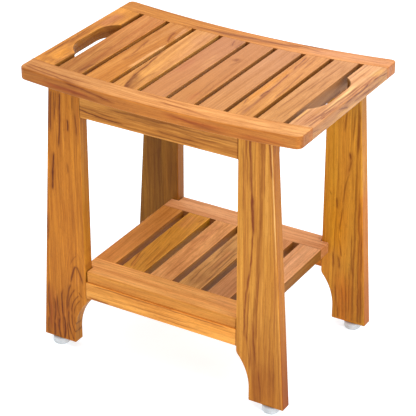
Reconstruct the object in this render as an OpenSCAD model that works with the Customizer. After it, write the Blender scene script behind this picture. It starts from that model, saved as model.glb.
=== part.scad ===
// Slatted teak shower bench with a curved seat, a storage shelf and four levelling feet.
// Millimetres. X runs along the bench, Y from front (-) to rear (+), Z up. Z = 0 is the floor, and the origin is midway between the legs.

/* [Overall] */
// Length of the seat along X
bench_l = 450; // [440:1:470]
// Depth of the seat along Y
bench_d = 294; // [288:1:310]
// Height of the seat's two ends above the floor
bench_h = 452; // [430:1:470]

/* [Seat] */
// Thickness of the seat's rails and end boards
seat_t = 19.5; // [18:0.5:22]
// How much thicker the seat's slats are, on their underside
slat_extra = 3; // [0:0.1:3.5]
// How far the middle of the seat lies below its two ends
seat_sag = 9.7; // [7:0.1:12]
// Width of the front and rear seat rails
seat_rail_w = 33.6; // [32:0.1:36]
// Width of the boards at the two ends of the seat
seat_end_w = 37.3; // [36:0.1:40]
// Gap between neighbouring seat boards
seat_gap = 7.3; // [6.5:0.1:8]
// Radius of the seat's four corners, seen from above
seat_corner_r = 9; // [6:0.5:12]

/* [Hand holes] */
// Length of each hand hole along Y
hand_l = 120; // [112:1:126]
// Depth of each hand hole into its end board
hand_w = 18.6; // [18:0.1:22]
// Radius of the two curved ends of a hand hole
hand_r = 45; // [40:1:50]

/* [Legs] */
// Thickness of the legs, aprons and stretchers along Y
leg_t = 19; // [18:0.5:20]
// Distance of a leg's outer face from the front or rear edge of the seat
leg_inset = 6.3; // [5:0.1:8]
// Distance from the middle of the bench to a leg's inner edge
leg_in_x = 128; // [126:0.5:129]
// Distance from the middle of the bench to a leg's outer edge, at the height of the seat
leg_top_x = 179.6; // [178:0.1:183]
// Distance from the middle of the bench to a leg's outer edge, at its lower end
leg_foot_x = 205.8; // [200:0.1:210]
// Distance from the middle of the bench to a leg's inner edge, at its lower end
leg_foot_in_x = 149.3; // [148:0.1:151]
// Height of the legs' lower ends above the floor
leg_z = 11.3; // [11.3:0.1:11.8]
// Radius of the curve cut out of each leg
arch_r = 80; // [76:1:84]
// Height of that curve's centre above the floor
arch_z = 32; // [28:1:36]

/* [Frame under the seat] */
// Height of the lower edge of the aprons and battens above the floor
apron_z = 391.3; // [389:0.1:393]
// Thickness of the battens behind the legs
batten_t = 20; // [18:0.5:22]
// Length of the battens along X
batten_l = 342; // [338:1:346]

/* [Shelf] */
// Height of the shelf's top above the floor
shelf_z = 141.2; // [138:0.1:145]
// Thickness of the shelf boards
shelf_t = 17.5; // [17:0.1:19]
// Length of the shelf along X
shelf_l = 280; // [276:1:284]
// Distance of the shelf's long edges from the legs' outer faces
shelf_inset = 2; // [1:0.1:4]
// Width of the shelf's front and rear rails
shelf_rail_w = 42.6; // [40:0.1:44]
// Width of the boards at the two ends of the shelf
shelf_end_w = 37.1; // [35:0.1:39]
// Gap between neighbouring shelf boards
shelf_gap = 11; // [9:0.1:12]
// Height of the stretchers
stretcher_h = 28.3; // [26:0.1:31]

/* [Feet] */
// Diameter of the foot pads
pad_d = 26; // [24:0.5:28]
// Distance from the middle of the bench to a foot's axis, along X
foot_x = 181.5; // [178:0.5:185]
// How far a foot screws out
foot_travel = 8; // [4:1:8]

/* [Hidden] */
$fn = 64;

// The seat's curve: its top is an arc of radius seat_r about a line along Y at height seat_cz.
seat_r = (bench_l * bench_l / 4 + seat_sag * seat_sag) / (2 * seat_sag);
seat_cz = bench_h - seat_sag + seat_r;
seat_fn = 1440;

seat_slats = 8;
seat_slat_w = (bench_l - 2 * seat_end_w - (seat_slats + 1) * seat_gap) / seat_slats;
seat_pitch = seat_slat_w + seat_gap;
seat_inner = bench_d - 2 * seat_rail_w;     // distance between the two seat rails
seat_end_x = bench_l / 2 - seat_end_w / 2;  // middle of an end board

shelf_slats = 4;
shelf_slat_w = (shelf_l - 2 * shelf_end_w - (shelf_slats + 1) * shelf_gap) / shelf_slats;
shelf_pitch = shelf_slat_w + shelf_gap;

leg_y = bench_d / 2 - leg_inset;            // the legs' outer faces are at Y = +-leg_y
foot_y = leg_y - leg_t / 2;
shelf_y = leg_y - shelf_inset;
shelf_inner = 2 * (shelf_y - shelf_rail_w);
stretcher_z = shelf_z - shelf_t - stretcher_h;

joint = 0.1;        // gap left at each butt joint
tenon_t = 8;        // thickness of the stub tenons
tenon_l = 11;       // how far a tenon stands out of its board
tenon_side = 6;     // shoulder on each side of a tenon
mortise = 0.1;      // room round a tenon

dowel_d = 8;
dowel_l = 36;
screw_d = 4;
screw_head_d = 8;
screw_head_h = 2.6;
slat_screw_l = 30;
slat_screw_z = apron_z + 16;
leg_screw_l = 34;
shelf_screw_l = 25;
shelf_screw_z = stretcher_z + 14;

stud_d = 6;
insert_l = 14;
stud_top = leg_z + insert_l + foot_travel;   // screwed right out, the stud still fills its insert
insert_d = 9;
pad_h = leg_z - 0.3;

teak_light = "#d9955a";
teak_gold = "#c8862f";
teak_pink = "#cf8b5c";
teak_dark = "#a8622a";

// Places what is drawn at the front right also on the left (sx = -1) and at the rear (sy = 1).
module side(sx) { if (sx < 0) mirror([1, 0, 0]) children(); else children(); }
module face(sy) { if (sy > 0) mirror([0, 1, 0]) children(); else children(); }
module flip(sz) { if (sz < 0) mirror([0, 0, 1]) children(); else children(); }

// Stands children on the seat's top at distance x from its middle: local Z is square to the seat, local X runs along its curve.
module on_seat(x) {
    translate([0, 0, seat_cz]) rotate([0, -asin(x / seat_r), 0]) translate([0, 0, -seat_r]) children();
}

// Everything above the seat's underside and a gap below it, for cutting what carries the seat.
module above_seat_underside(gap = 0) {
    translate([0, 0, seat_cz]) rotate([90, 0, 0]) cylinder(r = seat_r + seat_t + gap, h = 400, center = true, $fn = seat_fn);
}

// The seat's curved slab, bench_d deep and a little longer than the bench.
module seat_slab() {
    intersection() {
        translate([-bench_l, -bench_d / 2 - 5, bench_h - seat_sag - seat_t - 20])
            cube([2 * bench_l, bench_d + 10, seat_sag + seat_t + 60]);
        difference() {
            above_seat_underside();
            translate([0, 0, seat_cz]) rotate([90, 0, 0]) cylinder(r = seat_r, h = 402, center = true, $fn = seat_fn);
        }
    }
}

// Countersunk wood screw that points along +Z, its head's face at Z = 0.
module wood_screw(l) {
    difference() {
        union() {
            cylinder(r1 = screw_head_d / 2, r2 = screw_d / 2, h = screw_head_h);
            cylinder(r = screw_d / 2, h = l - 4);
            translate([0, 0, l - 4]) cylinder(r1 = screw_d / 2, r2 = 0.5, h = 4);
        }
        for (a = [0, 90]) rotate([0, 0, a]) translate([-2.2, -0.45, -1]) cube([4.4, 0.9, 2.5]);
    }
}

// The hole that such a screw sits in.
module screw_hole(l) {
    translate([0, 0, -0.02]) cylinder(r1 = screw_head_d / 2 + 0.1, r2 = screw_d / 2 + 0.1, h = screw_head_h + 0.04);
    cylinder(r = screw_d / 2 + 0.06, h = l + 0.4);
}

// ---------- seat ----------

// Tenon or, with room > 0, the mortise for it: on a board of width w whose end is at Y = y, pointing to -Y.
module seat_tenon(w, y, room = 0) {
    translate([-w / 2 + tenon_side - room, y - tenon_l - 3 * room, -seat_t / 2 - tenon_t / 2 - room])
        cube([w - 2 * tenon_side + 2 * room, tenon_l + 3 * room + 1, tenon_t + 2 * room]);
}

module seat_outline() {
    x = bench_l / 2 - seat_corner_r;
    y = bench_d / 2 - seat_corner_r;
    translate([0, 0, bench_h - 60]) linear_extrude(height = 100) union() {
        square([bench_l, 2 * y], center = true);
        square([2 * x, bench_d], center = true);
        for (sx = [-1, 1], sy = [-1, 1]) translate([sx * x, sy * y]) circle(r = seat_corner_r, $fn = 96);
    }
}

function seat_slat_x(i) = (i - (seat_slats + 1) / 2) * seat_pitch;

module seat_rail(sy) {
    face(sy) difference() {
        intersection() {
            seat_slab();
            seat_outline();
            translate([-bench_l, -bench_d / 2 - 1, bench_h - 60]) cube([2 * bench_l, seat_rail_w + 1, 100]);
        }
        for (i = [1:seat_slats]) on_seat(seat_slat_x(i)) seat_tenon(seat_slat_w, -seat_inner / 2, mortise);
        for (s = [-1, 1]) on_seat(s * seat_end_x) seat_tenon(seat_end_w, -seat_inner / 2, mortise);
    }
}

module seat_front_rail() { color(teak_light) seat_rail(-1); }
module seat_rear_rail() { color(teak_light) seat_rail(1); }

module seat_end_board(sx) {
    x0 = -seat_end_w / 2;
    cx = x0 + hand_w - hand_r;
    cy = hand_l / 2 - sqrt(hand_r * hand_r - (hand_r - hand_w) * (hand_r - hand_w));
    l = seat_inner - 2 * joint;
    side(sx) intersection() {
        on_seat(seat_end_x) difference() {
            union() {
                translate([x0, -l / 2, -seat_t]) cube([seat_end_w + 12, l, seat_t]);
                for (sy = [-1, 1]) face(sy) seat_tenon(seat_end_w, -l / 2);
            }
            for (s = [-1, 1]) translate([cx, s * cy, -seat_t - 5]) cylinder(r = hand_r, h = seat_t + 10, $fn = 180);
            translate([x0 - 20, -cy, -seat_t - 5]) cube([20 + hand_w, 2 * cy, seat_t + 10]);
        }
        translate([0, -bench_d, bench_h - 80]) cube([bench_l / 2, 2 * bench_d, 140]);
    }
}

module seat_left_end_board() { color(teak_light) seat_end_board(-1); }
module seat_right_end_board() { color(teak_light) seat_end_board(1); }

module seat_slat(i) {
    l = seat_inner - 2 * joint;
    x = seat_slat_x(i);
    difference() {
        on_seat(x) union() {
            translate([-seat_slat_w / 2, -l / 2, -seat_t - slat_extra]) cube([seat_slat_w, l, seat_t + slat_extra]);
            for (sy = [-1, 1]) face(sy) seat_tenon(seat_slat_w, -l / 2);
        }
        for (sy = [-1, 1]) face(sy) translate([x, -slat_screw_y, slat_screw_z]) screw_hole(slat_screw_l);
    }
}

module seat_slat_1() { color(teak_gold) seat_slat(1); }
module seat_slat_2() { color(teak_light) seat_slat(2); }
module seat_slat_3() { color(teak_pink) seat_slat(3); }
module seat_slat_4() { color(teak_light) seat_slat(4); }
module seat_slat_5() { color(teak_pink) seat_slat(5); }
module seat_slat_6() { color(teak_gold) seat_slat(6); }
module seat_slat_7() { color(teak_light) seat_slat(7); }
module seat_slat_8() { color(teak_pink) seat_slat(8); }

// ---------- frame under the seat ----------

batten_y = leg_y - leg_t;                    // the battens' outer faces are at Y = +-batten_y
slat_screw_y = (seat_inner / 2 + batten_y - batten_t) / 2;
leg_screw_z = [apron_z + 11, apron_z + 26];
leg_screw_x = 151;
apron_screw_x = [-2 * seat_pitch, 0, 2 * seat_pitch];
apron_dowel_z = [apron_z + 9, apron_z + 22];

module leg_screw_places() {
    for (z = leg_screw_z, sx = [-1, 1]) translate([sx * leg_screw_x, -batten_y + batten_t, z]) rotate([90, 0, 0]) children();
}

module apron_screw_places() {
    for (x = apron_screw_x) translate([x, -batten_y + batten_t, apron_z + 14]) rotate([90, 0, 0]) children();
}

module apron_dowel_places() {
    for (z = apron_dowel_z, sx = [-1, 1]) translate([sx * leg_in_x, -foot_y, z]) rotate([0, 90, 0]) children();
}

module stretcher_dowel_places() {
    for (z = [-7, 7], sx = [-1, 1]) translate([sx * leg_in_x, -foot_y, stretcher_z + stretcher_h / 2 + z]) rotate([0, 90, 0]) children();
}

module dowel() {
    cylinder(d = dowel_d, h = dowel_l - 2, center = true);
    for (s = [-1, 1]) flip(s) translate([0, 0, dowel_l / 2 - 1]) cylinder(d1 = dowel_d, d2 = dowel_d - 1.6, h = 1);
}

module dowel_hole() { cylinder(d = dowel_d + 0.12, h = dowel_l + 1, center = true); }

module apron(sy) {
    l = 2 * (leg_in_x - 0.25);
    face(sy) difference() {
        translate([-l / 2, -leg_y, apron_z]) cube([l, leg_t, 60]);
        above_seat_underside();
        apron_screw_places() screw_hole(leg_screw_l);
        apron_dowel_places() dowel_hole();
    }
}

module front_apron() { color(teak_dark) apron(-1); }
module rear_apron() { color(teak_dark) apron(1); }

module batten(sy) {
    h = 60;
    face(sy) difference() {
        translate([0, -batten_y + batten_t, 0]) rotate([90, 0, 0]) linear_extrude(height = batten_t)
            polygon([[-batten_l / 2, apron_z + 6], [-batten_l / 2 + 6, apron_z], [batten_l / 2 - 6, apron_z], [batten_l / 2, apron_z + 6],
                     [batten_l / 2, apron_z + h], [-batten_l / 2, apron_z + h]]);
        above_seat_underside(slat_extra + 0.1);
        leg_screw_places() screw_hole(leg_screw_l);
        apron_screw_places() screw_hole(leg_screw_l);
        for (i = [1:seat_slats]) translate([seat_slat_x(i), -slat_screw_y, 0]) {
            translate([0, 0, apron_z - 1]) cylinder(d = screw_head_d + 1, h = slat_screw_z - apron_z + 1);
            translate([0, 0, slat_screw_z]) screw_hole(slat_screw_l);
        }
    }
}

module front_batten() { color(teak_dark) batten(-1); }
module rear_batten() { color(teak_dark) batten(1); }

// ---------- legs ----------

// Outline of the front right leg in X and Z.
module leg_outline() {
    top = bench_h;
    slope = (leg_foot_x - leg_top_x) / (bench_h - seat_sag - leg_z);
    ax = leg_foot_in_x - arch_r;
    r = 10;
    cx = leg_in_x + r;
    cz = arch_z + sqrt((arch_r + r) * (arch_r + r) - (cx - ax) * (cx - ax));
    k = arch_r / (arch_r + r);
    difference() {
        polygon([[leg_in_x, leg_z], [leg_foot_x, leg_z], [leg_foot_x - slope * (top - leg_z), top], [leg_in_x, top]]);
        translate([ax, arch_z]) circle(r = arch_r, $fn = 256);
        translate([leg_in_x - 20, leg_z - 10]) square([leg_foot_in_x - leg_in_x + 20, arch_z - leg_z + 10]);
        // small rounding where the straight inner edge runs into the curve
        difference() {
            polygon([[leg_in_x - 2, cz], [cx, cz], [ax + (cx - ax) * k, arch_z + (cz - arch_z) * k], [leg_in_x - 2, arch_z + (cz - arch_z) * k - 3]]);
            translate([cx, cz]) circle(r = r, $fn = 64);
        }
    }
}

module leg(sx, sy) {
    side(sx) face(sy) difference() {
        translate([0, -leg_y + leg_t, 0]) rotate([90, 0, 0]) linear_extrude(height = leg_t) leg_outline();
        above_seat_underside();
        leg_screw_places() screw_hole(leg_screw_l);
        apron_dowel_places() dowel_hole();
        stretcher_dowel_places() dowel_hole();
        translate([foot_x, -foot_y, leg_z - 1]) {
            cylinder(d = 13.2, h = 2.05);
            cylinder(d = insert_d + 0.1, h = 1 + insert_l + 0.2);
            cylinder(d = stud_d + 1.4, h = 1 + insert_l + foot_travel + 3);
        }
    }
}

module leg_front_left() { color(teak_gold) leg(-1, -1); }
module leg_front_right() { color(teak_gold) leg(1, -1); }
module leg_rear_left() { color(teak_gold) leg(-1, 1); }
module leg_rear_right() { color(teak_gold) leg(1, 1); }

// ---------- shelf ----------

shelf_screw_x = [-90, 0, 90];
shelf_clear = 0.5;   // room between the shelf and a leg's inner face
shelf_notch = 1.7;   // room between the shelf's front edge and a leg's inner edge

function shelf_slat_x(i) = (i - (shelf_slats + 1) / 2) * shelf_pitch;

module shelf_tenon(w, y, room = 0) {
    translate([-w / 2 + tenon_side - room, y - tenon_l - 3 * room, shelf_z - shelf_t / 2 - tenon_t / 2 - room])
        cube([w - 2 * tenon_side + 2 * room, tenon_l + 3 * room + 1, tenon_t + 2 * room]);
}

module shelf_rail(sy) {
    a = leg_in_x - shelf_notch;
    y1 = leg_y - leg_t - shelf_clear;
    face(sy) difference() {
        translate([0, 0, shelf_z - shelf_t]) linear_extrude(height = shelf_t)
            polygon([[-a, -shelf_y], [a, -shelf_y], [a, -y1], [shelf_l / 2, -y1], [shelf_l / 2, -shelf_inner / 2],
                     [-shelf_l / 2, -shelf_inner / 2], [-shelf_l / 2, -y1], [-a, -y1]]);
        for (i = [1:shelf_slats]) translate([shelf_slat_x(i), 0, 0]) shelf_tenon(shelf_slat_w, -shelf_inner / 2, mortise);
        for (s = [-1, 1]) translate([s * (shelf_l - shelf_end_w) / 2, 0, 0]) shelf_tenon(shelf_end_w, -shelf_inner / 2, mortise);
        for (x = shelf_screw_x) translate([x, -foot_y, shelf_screw_z]) screw_hole(shelf_screw_l);
    }
}

module shelf_front_rail() { color(teak_light) shelf_rail(-1); }
module shelf_rear_rail() { color(teak_light) shelf_rail(1); }

module shelf_board(x, w) {
    l = shelf_inner - 2 * joint;
    translate([x, 0, 0]) {
        translate([-w / 2, -l / 2, shelf_z - shelf_t]) cube([w, l, shelf_t]);
        for (sy = [-1, 1]) face(sy) shelf_tenon(w, -l / 2);
    }
}

module shelf_left_end_board() { color(teak_pink) shelf_board(-(shelf_l - shelf_end_w) / 2, shelf_end_w); }
module shelf_right_end_board() { color(teak_pink) shelf_board((shelf_l - shelf_end_w) / 2, shelf_end_w); }
module shelf_slat_1() { color(teak_gold) shelf_board(shelf_slat_x(1), shelf_slat_w); }
module shelf_slat_2() { color(teak_pink) shelf_board(shelf_slat_x(2), shelf_slat_w); }
module shelf_slat_3() { color(teak_light) shelf_board(shelf_slat_x(3), shelf_slat_w); }
module shelf_slat_4() { color(teak_pink) shelf_board(shelf_slat_x(4), shelf_slat_w); }

module stretcher(sy) {
    l = 2 * (leg_in_x - 0.25);
    face(sy) difference() {
        translate([-l / 2, -leg_y, stretcher_z]) cube([l, leg_t, stretcher_h]);
        stretcher_dowel_places() dowel_hole();
        for (x = shelf_screw_x) translate([x, -foot_y, 0]) {
            translate([0, 0, stretcher_z - 1]) cylinder(d = screw_head_d + 1, h = shelf_screw_z - stretcher_z + 1);
            translate([0, 0, shelf_screw_z]) screw_hole(shelf_screw_l);
        }
    }
}

module front_stretcher() { color(teak_light) stretcher(-1); }
module rear_stretcher() { color(teak_light) stretcher(1); }

// ---------- levelling feet ----------

module at_foot(sx, sy) { translate([sx * foot_x, sy * foot_y, 0]) children(); }

// Round pad with a socket for the stud's flange and a pocket for its hexagon.
module pad() {
    r = pad_d / 2;
    rotate_extrude($fn = 96) difference() {
        union() {
            square([r - 3, pad_h]);
            translate([0, 3]) square([r, pad_h - 4]);
            translate([0, 1]) square([r - 1, pad_h - 1]);
            translate([r - 3, 3]) circle(r = 3, $fn = 64);
            translate([r - 1, pad_h - 1]) circle(r = 1, $fn = 48);
        }
        translate([-1, 2.9]) square([1 + 5.55, 2.7]);
        translate([-1, 3]) square([1 + stud_d / 2 + 0.05, pad_h]);
        translate([-1, 7.4]) square([1 + 7, pad_h]);
    }
}

// Stud with a foot flange and a hexagon for a spanner. Its thread is a plain cylinder.
module stud() {
    translate([0, 0, 3]) cylinder(r = 5.5, h = 2.5);
    translate([0, 0, 3]) cylinder(d = stud_d, h = stud_top - 4);
    translate([0, 0, stud_top - 1]) cylinder(d1 = stud_d, d2 = stud_d - 1.6, h = 1);
    translate([0, 0, 7.6]) cylinder(d = 11.5, h = 3.2, $fn = 6);
}

module foot_pad_front_left() { color("white") at_foot(-1, -1) pad(); }
module foot_pad_front_right() { color("white") at_foot(1, -1) pad(); }
module foot_pad_rear_left() { color("white") at_foot(-1, 1) pad(); }
module foot_pad_rear_right() { color("white") at_foot(1, 1) pad(); }
module foot_stud_front_left() { color("silver") at_foot(-1, -1) stud(); }
module foot_stud_front_right() { color("silver") at_foot(1, -1) stud(); }
module foot_stud_rear_left() { color("silver") at_foot(-1, 1) stud(); }
module foot_stud_rear_right() { color("silver") at_foot(1, 1) stud(); }

// Threaded inserts, their flanges let into the legs' lower ends.
module foot_inserts() {
    color("gold") for (sx = [-1, 1], sy = [-1, 1]) at_foot(sx, sy) translate([0, 0, leg_z]) difference() {
        union() {
            cylinder(d = 13, h = 1);
            cylinder(d = insert_d, h = insert_l);
        }
        translate([0, 0, -1]) cylinder(d = stud_d + 0.1, h = insert_l + 2);
    }
}

// ---------- fasteners ----------

module slat_screws() {
    color("silver") for (sy = [-1, 1], i = [1:seat_slats]) translate([seat_slat_x(i), sy * slat_screw_y, slat_screw_z]) wood_screw(slat_screw_l);
}

module leg_screws() { color("silver") for (sy = [-1, 1]) face(sy) leg_screw_places() wood_screw(leg_screw_l); }
module apron_screws() { color("silver") for (sy = [-1, 1]) face(sy) apron_screw_places() wood_screw(leg_screw_l); }
module apron_dowels() { color(teak_light) for (sy = [-1, 1]) face(sy) apron_dowel_places() dowel(); }
module stretcher_dowels() { color(teak_light) for (sy = [-1, 1]) face(sy) stretcher_dowel_places() dowel(); }

module shelf_screws() {
    color("silver") for (sy = [-1, 1], x = shelf_screw_x) translate([x, sy * foot_y, shelf_screw_z]) wood_screw(shelf_screw_l);
}

seat_front_rail();
seat_rear_rail();
seat_left_end_board();
seat_right_end_board();
seat_slat_1();
seat_slat_2();
seat_slat_3();
seat_slat_4();
seat_slat_5();
seat_slat_6();
seat_slat_7();
seat_slat_8();
front_apron();
rear_apron();
front_batten();
rear_batten();
leg_front_left();
leg_front_right();
leg_rear_left();
leg_rear_right();
shelf_front_rail();
shelf_rear_rail();
shelf_left_end_board();
shelf_right_end_board();
shelf_slat_1();
shelf_slat_2();
shelf_slat_3();
shelf_slat_4();
front_stretcher();
rear_stretcher();
foot_pad_front_left();
foot_pad_front_right();
foot_pad_rear_left();
foot_pad_rear_right();
foot_stud_front_left();
foot_stud_front_right();
foot_stud_rear_left();
foot_stud_rear_right();
foot_inserts();
slat_screws();
leg_screws();
apron_screws();
apron_dowels();
stretcher_dowels();
shelf_screws();
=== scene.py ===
import math

import bmesh
import bpy
from mathutils import Matrix, Vector


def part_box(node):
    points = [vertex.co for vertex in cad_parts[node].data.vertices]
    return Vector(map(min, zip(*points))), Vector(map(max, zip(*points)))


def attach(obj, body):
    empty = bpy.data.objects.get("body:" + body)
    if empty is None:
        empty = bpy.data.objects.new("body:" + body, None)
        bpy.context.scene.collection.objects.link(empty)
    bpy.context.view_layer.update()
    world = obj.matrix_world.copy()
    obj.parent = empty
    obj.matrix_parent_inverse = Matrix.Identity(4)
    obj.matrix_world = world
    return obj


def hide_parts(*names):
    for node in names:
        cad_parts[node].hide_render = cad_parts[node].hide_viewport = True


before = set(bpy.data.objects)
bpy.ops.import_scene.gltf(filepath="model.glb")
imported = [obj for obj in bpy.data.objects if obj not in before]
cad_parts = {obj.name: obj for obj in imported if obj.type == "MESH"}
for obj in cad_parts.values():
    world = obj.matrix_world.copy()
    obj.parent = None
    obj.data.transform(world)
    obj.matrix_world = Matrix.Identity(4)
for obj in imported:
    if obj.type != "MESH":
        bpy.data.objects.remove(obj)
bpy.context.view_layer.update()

# ------------------------------------------------------------------ camera

CAM = Vector((1.158241, -1.967861, 1.447005))
CAM_X = Vector((0.861169, 0.508317, 0.001583))
CAM_Y = Vector((-0.242040, 0.407311, 0.880633))
CAM_Z = -Vector((-0.446996, 0.758757, -0.473796))

cam_data = bpy.data.cameras.new("camera")
cam_data.sensor_width = 36
cam_data.sensor_fit = "HORIZONTAL"
cam_data.lens = 151.751
cam_data.clip_start = 0.05
cam_data.clip_end = 50
cam = bpy.data.objects.new("camera", cam_data)
bpy.context.scene.collection.objects.link(cam)
m = Matrix((CAM_X, CAM_Y, CAM_Z)).transposed().to_4x4()
m.translation = CAM
cam.matrix_world = m
bpy.context.scene.camera = cam

# ------------------------------------------------------------------ boards with eased edges

# The bench in millimetres, as in the frame.
SEAT_R = 2614.39
SEAT_CZ = 3056.69
SEAT_T = 19.5
SEAT_IN = 113.4
SEAT_END_X = 206.35
SEAT_END_W = 37.3
SHELF_Z = 141.2
SHELF_T = 17.5
LEG_OUT = 140.7
LEG_IN = 121.7
APRON_Z = 391.3

WMAX = 4.0  # the widest rounding, in mm


def seat_top(x):
    return SEAT_CZ - math.sqrt(SEAT_R * SEAT_R - x * x)


def near(a, b, tol=0.3):
    return abs(a - b) < tol


class Edge:
    """One sharp convex edge of a board in millimetres, as the rules below see it."""

    def __init__(self, e):
        a, b = e.verts[0].co * 1000, e.verts[1].co * 1000
        self.mid = (a + b) / 2
        self.len = (b - a).length
        self.dir = (b - a).normalized() if self.len > 1e-6 else Vector((0, 0, 1))
        self.n = [f.normal.copy() for f in e.link_faces]

    def faces(self, axis, sign=0, least=0.9):
        """True if a face beside the edge looks along the axis, to the side of sign, or to either side."""
        return any((abs(n[axis]) if sign == 0 else n[axis] * sign) > least for n in self.n)


def rule_slat(e):
    y = abs(e.mid.y)
    if y > SEAT_IN - 0.02 or (e.len < 3 and y < SEAT_IN - 1):
        return 0
    if near(y, SEAT_IN - 0.1, 0.06):
        return 0.35
    if abs(e.dir.y) > 0.99:
        return 1.0 if e.faces(2, 1) else 0.5
    return 0


def rule_seat_rail(e):
    top = e.mid.z > seat_top(e.mid.x) - 0.7
    bottom = e.mid.z < seat_top(e.mid.x) - SEAT_T + 0.7
    y = abs(e.mid.y)
    if top or bottom:
        if near(y, SEAT_IN, 0.1) and e.faces(1):
            return 0.4
        return 2.8 if top else 2.4
    if near(y, SEAT_IN, 0.1) and abs(e.mid.x) > 224:
        return 0.35
    return 0


def rule_seat_end(e):
    y = abs(e.mid.y)
    x = abs(e.mid.x)
    a = math.asin(SEAT_END_X / SEAT_R)
    px = SEAT_R * math.sin(a)
    pz = SEAT_CZ - SEAT_R * math.cos(a)
    dx, dz = x - px, e.mid.z - pz
    lx = dx * math.cos(a) + dz * math.sin(a)
    lz = -dx * math.sin(a) + dz * math.cos(a)
    top, bottom = abs(lz) < 0.4, abs(lz + SEAT_T) < 0.4
    if y > SEAT_IN - 0.02:
        return 0
    if near(y, SEAT_IN - 0.1, 0.06):
        return 0.35
    if top or bottom:
        if x > 224:
            return 2.8 if top else 2.4
        if abs(lx + SEAT_END_W / 2) < 0.2 and abs(e.dir.y) > 0.99:
            return 1.6 if top else 1.0
        return 1.0 if top else 0.8
    if y < 62 and abs(lx + SEAT_END_W / 2) < 0.6:
        return 2.2
    return 0


def rule_leg(e):
    x, y, z = abs(e.mid.x), abs(e.mid.y), e.mid.z
    if z > 425:
        return 0
    if near(y, LEG_OUT) or near(y, LEG_IN):
        if 142 < x < 160 and 395 < z < 424:
            return 0
        if not e.faces(1):
            return 0
        if x < 150:
            return 1.0 if y > 130 else 1.5
        return 1.7
    if near(z, 11.3, 0.1):
        if e.faces(2, -1) and not (172 < x < 191 and 123 < y < 140):
            return 1.5
    return 0


def rule_apron(e):
    x, y, z = abs(e.mid.x), abs(e.mid.y), e.mid.z
    if near(z, APRON_Z, 0.1):
        if abs(e.dir.x) > 0.99 and e.len > 20:
            return 3.2 if near(y, LEG_OUT) else 1.2
        if abs(e.dir.y) > 0.99 and e.len > 10:
            return 0.4
    if near(x, 127.75, 0.1) and abs(e.dir.z) > 0.99 and e.len > 20:
        return 0.5
    return 0


def rule_batten(e):
    if e.len < 4:
        return 0
    x, y, z = abs(e.mid.x), abs(e.mid.y), e.mid.z
    if z > 425:
        return 0
    if near(z, APRON_Z, 0.1) or x > 164:
        return 1.0
    return 0


def rule_shelf_rail(e):
    x, y, z = abs(e.mid.x), abs(e.mid.y), e.mid.z
    top, bottom = near(z, SHELF_Z, 0.1), near(z, SHELF_Z - SHELF_T, 0.1)
    if top or bottom:
        if e.len < 2.5 and bottom:
            return 0
        if near(y, 138.7, 0.1):
            return 3.4 if top else 1.2
        if near(y, 96.1, 0.1):
            return 0.4
        if near(x, 140, 0.1):
            return 2.4 if top else 1.2
        return 0.8
    if abs(e.dir.z) > 0.99 and e.len > 10:
        if near(x, 126.3, 0.1) and near(y, 138.7, 0.1):
            return 1.6
        if near(x, 140, 0.1) and near(y, 96.1, 0.1):
            return 0.35
        return 0.8
    return 0


def rule_shelf_board(e):
    x, y, z = abs(e.mid.x), abs(e.mid.y), e.mid.z
    if y > 96.08:
        return 0
    if near(y, 96.0, 0.06):
        return 0.35
    top = near(z, SHELF_Z, 0.1)
    if near(x, 140, 0.1):
        return 2.4 if top else 1.2
    return 1.4 if top else 0.9


def rule_stretcher(e):
    x, y, z = abs(e.mid.x), abs(e.mid.y), e.mid.z
    if e.len < 10:
        return 0
    if near(x, 127.75, 0.1):
        return 0.45
    if abs(e.dir.x) > 0.99:
        if z < 96:
            return 3.0 if near(y, LEG_OUT) else 1.5
        return 0.7
    return 0


def board(name, rule):
    """The CAD board as a mesh of its own with rounded edges, which stands for it."""
    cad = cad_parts[name]
    bm = bmesh.new()
    bm.from_mesh(cad.data)
    for layer in list(bm.loops.layers.float_vector.values()):
        bm.loops.layers.float_vector.remove(layer)
    bmesh.ops.remove_doubles(bm, verts=bm.verts, dist=2e-6)
    bmesh.ops.dissolve_limit(bm, angle_limit=math.radians(0.15), use_dissolve_boundaries=False, verts=bm.verts, edges=bm.edges)
    bmesh.ops.recalc_face_normals(bm, faces=bm.faces)
    weight = bm.edges.layers.float.get("bevel_weight_edge") or bm.edges.layers.float.new("bevel_weight_edge")
    for e in bm.edges:
        e.smooth = True
        if len(e.link_faces) != 2:
            continue
        a = e.calc_face_angle_signed(0)
        if abs(a) < math.radians(25):
            continue
        r = rule(Edge(e)) if a > 0 else 0
        if r > 0:
            e[weight] = r / WMAX
        else:
            e.smooth = False
    for f in bm.faces:
        f.smooth = True
    me = bpy.data.meshes.new(name + "_board")
    bm.to_mesh(me)
    bm.free()
    for a in ("custom_normal",):
        if a in me.attributes:
            me.attributes.remove(me.attributes[a])
    me.materials.clear()
    ob = bpy.data.objects.new(name + "_board", me)
    bpy.context.scene.collection.objects.link(ob)
    bevel = ob.modifiers.new("edges", "BEVEL")
    bevel.limit_method = "WEIGHT"
    bevel.offset_type = "OFFSET"
    bevel.width = WMAX / 1000
    bevel.segments = 4
    bevel.use_clamp_overlap = False
    bevel.loop_slide = False
    bevel.miter_outer = "MITER_SHARP"
    wn = ob.modifiers.new("normals", "WEIGHTED_NORMAL")
    wn.mode = "FACE_AREA"
    wn.weight = 60
    wn.keep_sharp = True
    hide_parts(name)
    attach(ob, "bench")
    return ob


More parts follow.
